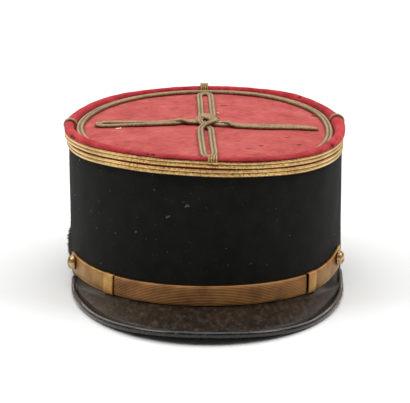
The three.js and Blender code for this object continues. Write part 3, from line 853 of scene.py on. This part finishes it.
def braid_piece(name, slot, nodes, material, grids, closed=False):
    """One piece from one or more laid braids."""
    if closed:
        points, faces = skin(grids[0][0], close_along=True)
    else:
        points, faces = joined([grid for grid, _ in grids])
    relief = np.concatenate([mask.ravel() for _, mask in grids])
    piece = make_piece(name, points, faces, material, {"relief": relief})
    sew_on(piece, slot, *nodes)


def rank_braids():
    """Two ribbed gilt braids round the head of the wall, each eased a little up and down."""
    for row, node in enumerate(("rank_braid_upper", "rank_braid_lower")):
        middle = -(RANK_FIRST_DROP + row * RANK_PITCH + RANK_HEIGHT / 2)
        inner = 2 * GAP + SKIRT

        def place(share, across, up):
            angle = share * TURN
            ease = 0.12 * ripple(angle, 0, (3, 7, 12), 20 + row)
            return from_crest(angle, inner + up - tuck(angle, row), middle + across + ease)

        # Their upper and lower sides keep no relief, so they are painted dark: painted shade in the gap
        # between the braids.
        grid, relief = lay_braid(
            lambda share: from_crest(share * TURN, inner, middle), place, RANK_HEIGHT, RANK_THICKNESS, 2,
            closed=True, side_relief=0.0,
        )
        # Both braids are painted brighter towards the cap's two sides, down into the grooves: painted
        # light from the side lamps.
        rubbed = fade_in(np.abs(grid[..., 0]), 48, 30)
        laid = grid, relief * (1 + 0.35 * rubbed) + 0.22 * rubbed
        braid_piece(f"gilt_{node}", "gilt_braid", [node], gilt_braid, [laid], closed=True)


def ring_braid():
    """The flat braid that runs round the disc inside the rim."""

    def place(share, across, up):
        angle = share * TURN
        ease = 0.2 * ripple(angle, 0, (2, 5, 9), 30)
        level = GAP - DISC_DROP - front_sink(angle)
        return from_crest(angle, RING_OUT + across + ease, level + up)

    laid = lay_braid(
        lambda share: from_crest(share * TURN, RING_OUT, GAP - DISC_DROP), place, RING_WIDTH,
        RING_THICKNESS, 2, closed=True,
    )
    braid_piece("ring_braid", "tarnished_braid", ["crown_ring"], dull_braid, [laid], closed=True)


def strand(points, width=FLAT_WIDTH, thickness=FLAT_THICKNESS, ribs=2):
    """A braid laid on the disc through points of x, y and height above the cloth."""
    path = smooth_path(points)
    shares = np.linspace(0, 1, len(path))
    heading = unit(np.gradient(path[:, :2], axis=0))

    def follow(share, table):
        return np.stack([np.interp(share, shares, column) for column in table.T], -1)

    def place(share, across, up):
        at = follow(share, path)
        along = unit(follow(share, heading))
        x = at[..., 0] - along[..., 1] * across
        y = at[..., 1] + along[..., 0] * across
        return on_disc(x, y, at[..., 2] + up)

    def line(share):
        at = follow(share, path)
        return on_disc(at[:, 0], at[:, 1], at[:, 2])

    return lay_braid(line, place, width, thickness, ribs)


# The knot's loops, each one braid out from the woven middle and back: x, y, height above the
# cloth. A leg that crosses over its twin is lifted by a braid's thickness there.
KNOT_LOOPS = {
    "knot_loop_left": (
        (-4.2, 5.4, 0.2), (-9.0, 4.9, 0.2), (-14.0, 2.6, 0.1), (-19.5, -0.6, 0.2), (-30.0, -2.6, 0.2),
        (-45.0, -4.7, 0.2), (-58.0, -6.9, 0.2), (-63.6, -6.4, 0.2), (-66.2, -2.4, 0.2), (-63.8, 2.4, 0.2),
        (-58.0, 3.3, 0.2), (-45.0, 2.4, 0.2), (-30.0, 1.8, 0.2), (-20.0, 3.4, 0.5), (-14.0, 2.4, 1.7),
        (-9.0, 0.8, 0.7), (-4.2, 0.6, 0.2),
    ),
    "knot_loop_right": (
        (8.6, 0.6, 0.2), (11.5, -0.4, 0.6), (15.0, -4.2, 1.6), (19.5, -8.6, 0.6), (28.0, -10.2, 0.2),
        (45.0, -11.0, 0.2), (58.0, -11.3, 0.2), (66.0, -11.4, 0.0), (68.6, -10.2, -0.4),
        (66.5, -8.9, -0.3), (58.0, -7.4, 0.2), (45.0, -6.8, 0.2), (28.0, -6.0, 0.2), (19.5, -4.9, 0.2),
        (15.0, -4.9, 0.1), (11.5, -5.4, 0.2), (8.6, -4.6, 0.2),
    ),
    "knot_loop_back": (
        (6.3, 19.0, 0.2), (6.6, 40.0, 0.2), (6.9, 65.0, 0.2), (6.9, 82.0, 0.2), (5.9, 85.4, 0.2),
        (3.5, 86.6, 0.2), (0.8, 85.4, 0.2), (-0.4, 82.0, 0.2), (-0.6, 65.0, 0.2), (-1.0, 40.0, 0.2),
        (-1.3, 19.0, 0.2),
    ),
    "knot_loop_front": (
        (-3.0, -20.6, 0.2), (-3.2, -40.0, 0.2), (-3.1, -65.0, 0.2), (-2.9, -81.0, -0.1),
        (-2.2, -84.4, -0.7), (0.2, -86.0, -1.0), (2.6, -84.4, -0.7), (3.3, -81.0, -0.1),
        (3.4, -65.0, 0.2), (3.6, -40.0, 0.2), (3.8, -20.6, 0.2),
    ),
}

# The strands that are woven through one another in the middle, in the same three columns.
KNOT_WEAVE = (
    (
        (-1.3, 18.8, 0.2), (-0.6, 14.5, 0.3), (2.6, 9.5, 0.8), (5.4, 4.0, 1.8), (5.6, -2.0, 2.0),
        (3.0, -8.0, 2.3), (-0.4, -13.0, 2.0), (-2.6, -17.0, 0.7), (-3.0, -20.4, 0.2),
    ),
    (
        (6.5, 18.8, 0.2), (5.6, 14.8, 1.2), (2.0, 10.2, 2.5), (-1.6, 5.0, 2.0), (-2.6, -1.0, 1.8),
        (-0.8, -7.0, 1.0), (2.2, -12.5, 0.4), (3.6, -17.0, 0.2), (3.8, -20.4, 0.2),
    ),
    ((-4.0, 5.4, 0.2), (-1.5, 4.4, 0.1), (1.5, -0.5, 0.8), (4.5, -3.6, 0.2), (8.4, -4.6, 0.2)),
    ((-4.0, 0.6, 0.2), (-1.5, 0.6, 0.1), (1.5, 1.8, 2.0), (4.5, 1.4, 0.4), (8.4, 0.6, 0.2)),
    ((-4.6, 13.0, 0.4), (-0.8, 12.4, 2.4), (3.6, 8.6, 3.2), (8.4, 6.0, 1.0)),
    ((-5.2, 8.4, 0.5), (-1.4, 8.6, 2.8), (3.0, 4.2, 3.6), (8.8, 0.8, 1.2)),
    ((-5.6, 3.2, 0.5), (-1.6, 4.2, 3.0), (2.6, 0.2, 3.4), (7.0, -3.8, 1.4)),
    ((-4.4, 7.4, 0.8), (0.4, 5.2, 2.0), (2.4, 3.6, 2.2), (7.6, 3.4, 1.0)),
    ((-5.4, -0.6, 0.4), (-2.0, 1.0, 2.4), (2.4, 6.4, 2.6), (6.0, 10.2, 2.4), (8.6, 12.8, 0.6)),
)


def cross_knot():
    """The looped cross knot sewn on the disc."""
    for node, points in KNOT_LOOPS.items():
        laid = [strand(points)]
        braid_piece(f"braid_{node}", "tarnished_braid", [node], dull_braid, laid)
    woven = [strand(points, width=3.9, thickness=1.5) for points in KNOT_WEAVE]
    braid_piece("woven_knot", "tarnished_braid", ["knot_centre"], dull_braid, woven)


# Braids over the rim: angle, width, ribs, thickness, and their route over the roll as turn round
# it in degrees and distance off it.
RIM_BRAIDS = {
    "rim_braid_back": (
        87.0, 5.4, 4, 1.3, ((-12, 0.2), (20, 0.4), (90, 0.9), (140, 0.6), (175, 0.4), (202, 0.4)),
    ),
    "rim_braid_front": (-90.8, 5.6, 4, 1.2, ((-18, 0.3), (10, 0.2), (70, 0.2), (120, 0.2), (170, 0.3))),
    "rim_braid_left": (181.4, 3.8, 2, 1.4, ((0, -0.9), (30, -0.5), (80, 0.1), (130, 0.3), (175, 0.5))),
    "rim_braid_right": (
        3.4, 3.8, 2, 1.4, ((-14, -0.1), (12, 0.4), (50, 0.7), (90, 0.8), (130, 0.7), (165, 0.4)),
    ),
}


def braids_over_rim():
    """Four short lengths of braid carried over the roll of the rim."""
    for node, (degrees, width, ribs, thickness, route) in RIM_BRAIDS.items():
        middle = math.radians(degrees)
        _, sideways = level_directions(crest_outline, middle)
        turn, off = smooth_path(route, 200).T
        turn = np.radians(turn)
        path_out = ROLL_OUT + (ROLL_HALF_WIDTH + off) * np.cos(turn)
        path_up = (ROLL_HALF_HEIGHT + off) * roll_rise(middle, turn) - ROLL_HALF_HEIGHT
        path = np.stack([path_out, path_up], -1)
        shares = np.linspace(0, 1, len(path))
        heading = unit(np.gradient(path, axis=0))

        def place(share, across, up):
            columns = (*path.T, *heading.T)
            out, rise, out_step, rise_step = (np.interp(share, shares, column) for column in columns)
            aside = sideways * (across + 0 * up)[..., None]
            return from_crest(middle, out + rise_step * up, rise - out_step * up) + aside

        def line(share):
            out, rise = (np.interp(share, shares, column) for column in path.T)
            return from_crest(middle, out, rise)

        laid = lay_braid(line, place, width, thickness, ribs)
        material = worn_braid if ribs == 4 else dull_braid
        braid_piece(f"small_{node}", "tarnished_braid", [node], material, [laid])


# ------------------------------------------------------------------ chin strap and buttons


STRAP_SPACING = 0.8  # between the sections of its mesh


def strap_stretch(from_angle, to_angle, section, spacing=STRAP_SPACING):
    """Grid of a stretch of strap: section lists how far out and at what share of its height."""
    out, height = np.array(section).T
    start, end = math.radians(from_angle), math.radians(to_angle)
    share, _, _ = even_stations(lambda t: above_base(mix(start, end, t), 0, 8), spacing)
    angle = mix(start, end, share)[:, None]
    lower, upper = strap_edges(angle)
    return above_base(angle, out[None, :], mix(lower, upper, height[None, :]))


def strap_face(ribs, rib_rise, edge, per_rib=6):
    """Section of a strap: a crowned face with lengthwise ribs between two plain raised edges."""
    count = ribs * per_rib + 1 if ribs else 24
    inside = np.linspace(edge, 1 - edge, count)
    wave = np.sin(np.pi * ribs * (inside - edge) / (1 - 2 * edge)) ** 2 if ribs else 0 * inside
    crown = STRAP_CROWN * (1 - (2 * inside - 1) ** 4)
    face = GAP + STRAP_THICKNESS - 0.1 + crown + rib_rise * wave
    rail = GAP + STRAP_THICKNESS + 0.12
    low = [(GAP, 0.0), (rail - 0.45, 0.0), (rail - 0.1, edge * 0.25), (rail, edge * 0.55)]
    low.append((rail - 0.12, edge * 0.85))
    high = [(out, 1 - height) for out, height in reversed(low)]
    section = low + list(zip(face, inside)) + high
    # Relief for the colour: the rails and rib crests are painted pale as highlights, the furrows and the
    # side against the wall dark as shade.
    relief = [0.0, 0.4, 0.9, 1.0, 0.5] + list(0.1 + 0.5 * wave) + [0.5, 1.0, 0.9, 0.4, 0.0]
    return section, np.array(relief)


def chin_strap():
    """The ribbed middle of the strap, its two plain ends, and the two slides over the joints."""
    slot_width = {"left": 0.35, "right": 0.95}  # degrees left open beside each slide
    tucked = 1.0  # degrees that each plain end runs on inside its slide
    section, relief = strap_face(ribs=11, rib_rise=0.28, edge=0.06)
    start, end = SLIDE_LEFT[1] + slot_width["left"], SLIDE_RIGHT[0] - slot_width["right"]
    grid = strap_stretch(start, end, section)
    points, faces = skin(grid)
    mask = np.broadcast_to(relief, grid.shape[:2])
    middle = make_piece("ribbed_strap", points, faces, ribbed_leather, {"relief": mask})
    sew_on(middle, "gilt_leather", "strap_centre")
    section, relief = strap_face(ribs=0, rib_rise=0, edge=0.05)
    for side, start, end in (
        ("left", STRAP_END_LEFT, SLIDE_LEFT[0] + tucked),
        ("right", SLIDE_RIGHT[1] - tucked, STRAP_END_RIGHT),
    ):
        grid = strap_stretch(start, end, section)
        points, faces = skin(grid)
        # Painted shadow of the slide: the plain end loses its relief, and so is painted darker, within
        # about 2 mm of the slide.
        from_slide = np.arange(len(grid))[:: 1 if side == "right" else -1, None] * STRAP_SPACING
        mask = relief * fade_in(from_slide, 1.0, 1.2)
        plain = make_piece(f"plain_strap_{side}", points, faces, plain_leather, {"relief": mask})
        sew_on(plain, "gilt_leather", f"strap_end_{side}")
    for side, (start, end) in (("left", SLIDE_LEFT), ("right", SLIDE_RIGHT)):
        slide(side, start, end)


def slide(side, start, end):
    """A sheet folded round the strap, with softened edges."""
    over = 2 * GAP + STRAP_THICKNESS + STRAP_CROWN
    outer = over + SLIDE_THICKNESS
    lip = 0.02
    share = np.linspace(0, 1, 16)
    face = [(outer - 0.25 * (2 * s - 1) ** 6, mix(-lip, 1 + lip, s)) for s in share]
    low_edge = [(GAP, -lip), (GAP + 0.8, -lip - 0.012)]
    high_edge = [(GAP + 0.8, 1 + lip + 0.012), (GAP, 1 + lip)]
    inside = [(GAP, 1.005), (over, 0.99), (over, 0.01), (GAP, -0.005)]
    section = low_edge + face + high_edge + inside
    grid = strap_stretch(start, end, section, spacing=0.35)
    rounded = np.minimum(1, np.minimum(np.arange(len(grid)), np.arange(len(grid))[::-1]) / 2)
    flat = strap_stretch(start, end, [(GAP, height) for _, height in section], spacing=0.35)
    grid = mix(flat, grid, mix(0.9, 1, rounded)[:, None, None])
    points, faces = skin(grid)
    mask = np.full(grid.shape[:2], 0.7)
    piece = make_piece(f"slide_{side}", points, faces, plain_leather, {"relief": mask})
    sew_on(piece, "gilt_leather", f"strap_slide_{side}")


def buttons():
    """Two plain domed buttons, each turned up at its rim and standing on the strap's end."""
    rim = ((-0.6, 0), (-0.2, 0.1), (0, 0.4), (-0.02, 0.75), (-0.25, 0.95), (-0.5, 0.9))
    profile = [(0, 0)] + [(BUTTON_RADIUS + inset, height) for inset, height in rim]
    turn = np.radians(np.linspace(12, 90, 12))
    dome = BUTTON_RIM - 0.1 + (BUTTON_DOME + 0.1) * np.sin(turn)
    profile += list(zip((BUTTON_RADIUS - 0.45) * np.cos(turn), dome))
    radius, rise = np.array(profile).T
    spin = all_round(48)[:, None]
    for name, (degrees, up) in BUTTONS.items():
        angle = math.radians(degrees)
        centre = above_base(angle, 2 * GAP + STRAP_THICKNESS + STRAP_CROWN, up)
        axis, side = level_directions(base_outline, angle)
        grid = (
            centre
            + (radius * np.cos(spin))[..., None] * side
            + (radius * np.sin(spin))[..., None] * np.array((0, 0, 1))
            + (rise + 0 * spin)[..., None] * axis
        )
        points, faces = skin(grid, close_along=True, close_across=False)
        piece = make_piece(f"domed_{name}", points, faces, brass, weld=True)
        sew_on(piece, "gilt_brass", name)


# ------------------------------------------------------------------ peak


def edge_ridges(away, share):
    """Height of the pressed lines beside the peak's edge, at a distance in from the bead. A share
    below 1 is left of them where they have been worn flat."""
    grooves = 1.1 * hump(away, FIRST_LINE, 0.5) + 0.6 * share * hump(away, SECOND_LINE, 0.45)
    ridges = 0.55 * hump(away, 1.3, 0.5) + 0.45 * hump(away, 3.9, 0.8)
    return ridges * share - grooves


def peak_wear(grid, share, width, small, crisp):
    """Dust on the peak, most on the wearer's right, and painted shade in its pressed lines, where it
    turns up against the wall and underneath.
    """
    x, y = grid[..., 0], grid[..., 1]
    side = fade_in(-x, 28, 45) + 0.2 * fade_in(x, 40, 40)
    dust = np.clip(0.12 + 0.6 * side + 0.1 * hump(y, -100, 14), 0, 1)
    away = (1 - share) * width / small
    # Painted shade: darker in the two pressed lines and where the peak turns up against the wall.
    lines = hump(away, FIRST_LINE, 0.6) + crisp * hump(away, SECOND_LINE, 0.55)
    painted_wall_shade = 0.35 * hump(share * width, 0, 2.5)
    # The underside and the parts against the wall are painted darker throughout, as shade.
    groove = np.full(x.shape, 0.35)
    upper = share.shape[1]  # the columns of the upper side come first
    groove[:, :upper] = np.clip(lines + painted_wall_shade, 0, 1)
    dust[:, :upper] *= np.clip(share / 0.15, 0.3, 1)
    dust[:, upper:] = 0
    return {"dust": dust, "groove": groove}


def leather_peak():
    """The crescent of the peak. It turns up against the wall to the strap's lower edge, and two
    lines are pressed into it beside its outer edge."""
    t = np.linspace(0, 1, 320)[:, None]
    share = 1 - np.linspace(1, 0, 90)[None, :] ** 1.8
    outer_angle = np.radians(mix(PEAK_HORN_ANGLE, 180 - PEAK_HORN_ANGLE, t))
    inner_angle = -np.radians(mix(PEAK_ROOT_ANGLE, 180 - PEAK_ROOT_ANGLE, t))
    inside_bead = bead_radius(outer_angle)[..., None] + 0.1
    outer = peak_outline(outer_angle) - peak_outward(outer_angle) * inside_bead
    flange_up = strap_edges(inner_angle)[0] - FLANGE_BELOW_STRAP
    inner = above_base(inner_angle, FLANGE_FRONT, flange_up)
    x = mix(inner[..., 0], outer[..., 0], share)
    y = mix(inner[..., 1], outer[..., 1], share)
    width = np.linalg.norm(outer - inner[..., :2], axis=-1)
    away = (1 - share) * width
    edge_top = PEAK_EDGE_TOP + arch_lift(outer[..., 0]) + horn_lift(outer_angle)
    root_top = inner[..., 2]
    rest = base_height(y[:, :1]) + PEAK_CLEARANCE
    crown = 4 * mix(PEAK_HORN_CROWN, PEAK_CROWN, np.sin(np.pi * t)) * share * (1 - share)
    turned_up = (1 - fade_in(share * width, 0, FLANGE_REACH)) ** 2
    level = mix(np.minimum(rest, root_top), edge_top, share) + crown
    level += np.maximum(root_top - rest, 0) * turned_up
    waves = 0.12 * np.sin(x * 0.16 + 1) * np.sin(y * 0.21) * fade_in(away, 0, 8)
    small = np.clip(width / 24, 0.5, 1)  # the lines draw together where the peak is narrow
    crisp = 0.12 + 0.88 * fade_in(np.abs(outer[..., 0]), 30, 35)  # and are worn flat in front
    top = np.stack([x, y, level + waves + edge_ridges(away / small, crisp) * small], -1)
    bottom = np.stack([x, y, np.maximum(level - PEAK_THICKNESS, PEAK_CLEARANCE)], -1)[:, ::-6]
    under = above_base(inner_angle, np.array([[0.9, -CLOTH_THICKNESS]]), -GAP - TONGUE)
    over = above_base(inner_angle, np.array([[-CLOTH_THICKNESS, FLANGE_BACK]]), -GAP)
    flange = above_base(inner_angle, FLANGE_BACK, flange_up)
    grid = np.concatenate([top, bottom, under, over, flange], 1)
    points, faces = skin(grid)
    masks = peak_wear(grid, share, width, small, crisp)
    peak = make_piece("leather_peak", points, faces, peak_leather, masks)
    sew_on(peak, "patent_leather", "peak")


def bead_radius(angle):
    return mix(BEAD_HORN_RADIUS, BEAD_RADIUS, np.clip(np.sin(angle) * 2, 0, 1))


def rolled_edge():
    """The bead round the peak's edge, thinner towards its ends."""
    t = np.linspace(0, 1, 360)[:, None]
    angle = np.radians(mix(BEAD_HORN_ANGLE, 180 - BEAD_HORN_ANGLE, t))
    turn = all_round(24)[None, :]
    thick = bead_radius(angle) * (1 + 0.03 * np.sin(angle * 17) * np.sin(angle * 5 + 1))
    ends = fade_in(np.minimum(t, 1 - t), 0, 0.006)
    thick = thick * np.sqrt(1 - (1 - ends) ** 2 * 0.8)
    centre = peak_outline(angle)
    outward = peak_outward(angle)
    x = centre[..., 0] + outward[..., 0] * np.cos(turn) * thick
    y = centre[..., 1] + outward[..., 1] * np.cos(turn) * thick
    z = arch_lift(centre[..., 0]) + horn_lift(angle) + (1 + np.sin(turn)) * thick
    grid = np.stack([x, y, z], -1)
    points, faces = skin(grid)
    dust = fade_in(np.abs(grid[..., 0]), 45, 30) * (0.65 + 0.35 * np.sin(turn))
    bead = make_piece("rolled_edge", points, faces, bead_leather, {"dust": dust})
    sew_on(bead, "patent_leather", "peak_edge")


# ------------------------------------------------------------------ wear and stray fibres


def fibre(start, heading, length, thickness, curl, draw):
    """Grid of one thin curved fibre with a three-sided section."""
    steps = 5
    t = np.linspace(0, 1, steps)[:, None]
    bend = draw.normal(0, curl * length, (1, 3))
    line = start + heading * length * t + bend * t**2
    side = unit(np.cross(heading, draw.normal(size=3)))
    other = unit(np.cross(heading, side))
    turn = all_round(3)[None, :, None]
    radius = thickness / 2 * (1 - 0.6 * t[:, :, None])
    ring = np.cos(turn) * side + np.sin(turn) * other
    return line[:, None, :] + ring * radius


def ragged_fibres():
    """Torn ends of wool that stand out from the moth-eaten patch on the wall."""
    draw = np.random.default_rng(21)
    parts = []
    for i in range(420):
        degrees = draw.normal(RAGGED["angle"], RAGGED["half_angle"] * 0.55)
        up = draw.normal(RAGGED["up"], RAGGED["half_up"] * 0.6)
        if i % 3 == 0:
            up = (21.0, 24.6)[i % 2] + draw.normal(0, 0.6)
        up = float(np.clip(up, 3, 30))
        angle = math.radians(degrees)
        raised = float(ragged_patch(np.array(angle), np.array(up)))
        start = above_base(angle, 0.2 + 1.4 * raised, up)
        outward, _ = level_directions(base_outline, angle)
        heading = outward + draw.normal(0, 0.8, 3)
        parts.append(fibre(start, unit(heading), draw.uniform(0.4, 1.1), 0.3, 0.5, draw))
    points, faces = joined(parts)
    tufts = make_piece("torn_wool", points, faces, plain_fibre("torn wool", "#1e1d1c"))
    sew_on(tufts, "black_wool")


# Pale flecks on the top: x, y and length.
FLECKS = ((10.0, 30.9, 1.8), (44.0, 10.5, 0.9), (-54.0, -12.6, 3.0), (-51.8, -11.6, 2.4))


# Larger bits of lint on the wall: angle, height and length.
LINT = (
    (-100.6, 58.7, 1.6), (-99.6, 58.5, 1.4), (-108.1, 51.6, 1.2), (-107.1, 52.3, 1.0),
    (-130.0, 38.4, 0.9), (-140.4, 38.9, 0.7), (-120.6, 41.2, 0.7), (-138.3, 17.8, 0.8),
    (-153.0, 76.4, 0.8), (-158.8, 53.3, 0.6),
)


def lint():
    """Dust fluff caught on the wall, and a few pale flecks on the top."""
    draw = np.random.default_rng(22)
    parts = []
    for degrees, up, size in LINT:
        start = above_base(math.radians(degrees), 0.3, up)
        for _ in range(4):
            heading = unit(np.append(draw.normal(size=2) * (1, 0.3), draw.normal() * 0.7))
            begin = start - heading * size / 2 + draw.normal(0, 0.25, 3) * (1, 0, 1)
            parts.append(fibre(begin, heading, size, 0.45, 0.3, draw))
    for _ in range(130):
        angle = draw.uniform(0, TURN)
        up = draw.uniform(14, 78)
        start = above_base(angle, 0.15, up)
        _, along = level_directions(base_outline, angle)
        heading = unit(along * draw.normal() + np.array((0, 0, draw.normal())))
        parts.append(fibre(start, heading, draw.uniform(0.4, 1.5), draw.uniform(0.15, 0.3), 0.3, draw))
    points, faces = joined(parts)
    fluff = make_piece("lint_on_wall", points, faces, plain_fibre("grey lint", "#6c6c66"))
    sew_on(fluff, "black_wool")
    flecks = []
    for x, y, size in FLECKS:
        for _ in range(3):
            start = on_disc(np.array(x), np.array(y), 0.35)
            heading = unit(np.append(draw.normal(size=2), 0.05))
            flecks.append(fibre(start - heading * size / 2, heading, size, 0.7, 0.2, draw))
    points, faces = joined(flecks)
    pale = make_piece("flecks_on_top", points, faces, plain_fibre("pale thread", "#ffe0c4"))
    sew_on(pale, "red_wool")


# Moth holes in the top: x, y and radius in millimetres.
TOP_HOLES = (
    (15.0, 55.9, 1.2), (47.8, 50.0, 1.5), (72.7, 28.6, 1.3), (49.1, -31.8, 1.3), (23.6, -62.3, 1.2),
    (54.1, -49.0, 1.2), (31.8, -53.9, 0.9), (-36.7, 49.7, 0.5),
)


def moth_holes():
    """Small ragged pits in the top, down to the darker ground of the cloth."""
    draw = np.random.default_rng(23)
    pits, corners = [], 18
    turn = all_round(corners)
    for x, y, radius in TOP_HOLES:
        rag = radius * (1 + draw.normal(0, 0.16, corners))
        rings = [
            on_disc(x + 1.5 * rag * share * np.cos(turn), y + rag * share * np.sin(turn), lift)
            for share, lift in ((1.0, -0.25), (0.85, 0.16), (0.45, 0.08))
        ]
        pits.append(np.stack(rings))
    points, faces = joined(pits)
    holes = make_piece("moth_holes", points, faces, plain_fibre("bared ground of the cloth", "#a2363a"))
    sew_on(holes, "red_wool")


# ------------------------------------------------------------------ floor, light and camera


def pale_floor():
    """A plain pale table top that runs out of view."""
    half = 6000
    corners = [(-half, -half, 0), (half, -half, 0), (half, half, 0), (-half, half, 0)]
    board = blank("matt white board")
    finish(board, Base_Color=paint("#e8e8e6"), Roughness=0.9, Specular_IOR_Level=0.2)
    make_piece("floor", corners, [[0, 1, 2, 3]], board, smooth=False)


SKY_STRENGTH = 0.17
# Name, azimuth and elevation in degrees, strength, and breadth in degrees.
SOFTBOXES = (
    ("overhead softbox", 180, 70, 3.1, 100), ("left softbox", -84, 46, 0.72, 26),
    ("right softbox", 84, 46, 0.75, 26), ("front fill", 0, 68, 0.25, 30),
)


def soft_light(name, azimuth, elevation, strength, softness):
    """A broad, even light from one direction, azimuth from the front towards the wearer's left."""
    lamp = bpy.data.lights.new(name, "SUN")
    lamp.energy = strength
    lamp.angle = math.radians(softness)
    light = bpy.data.objects.new(name, lamp)
    a, e = math.radians(azimuth), math.radians(elevation)
    towards = Vector((math.sin(a) * math.cos(e), -math.cos(a) * math.cos(e), math.sin(e)))
    light.rotation_euler = towards.to_track_quat("Z", "Y").to_euler()
    bpy.context.scene.collection.objects.link(light)


def studio_light():
    """A white studio: most light falls from above and behind, bright enough to burn out the white
    table, with a little fill from the front."""
    world = bpy.data.worlds.new("white studio")
    world.use_nodes = True
    sky = world.node_tree.nodes["Background"].inputs
    sky["Color"].default_value, sky["Strength"].default_value = paint("#ffffff"), SKY_STRENGTH
    bpy.context.scene.world = world
    for softbox in SOFTBOXES:
        soft_light(*softbox)


def set_camera():
    """A long lens, a little above the cap and almost straight in front of it."""
    azimuth, elevation, distance = math.radians(-1.87), math.radians(12.96), 880
    target = np.array((0.57, 0.0, 43.8))
    level = math.cos(elevation)
    back = np.array((math.sin(azimuth) * level, -math.cos(azimuth) * level, math.sin(elevation)))
    lens = bpy.data.cameras.new("camera")
    lens.lens = 122.0
    lens.clip_start = 0.05
    camera = bpy.data.objects.new("camera", lens)
    camera.location = (target + back * distance + AXES_AT) * MM
    camera.rotation_euler = Vector(back).to_track_quat("Z", "Y").to_euler()
    bpy.context.scene.collection.objects.link(camera)
    bpy.context.scene.camera = camera


set_camera()
wool_wall()
red_rim()
red_disc()
rank_braids()
ring_braid()
cross_knot()
braids_over_rim()
chin_strap()
buttons()
leather_peak()
rolled_edge()
ragged_fibres()
lint()
moth_holes()
pale_floor()
studio_light()
bpy.context.scene.view_settings.view_transform = "Standard"
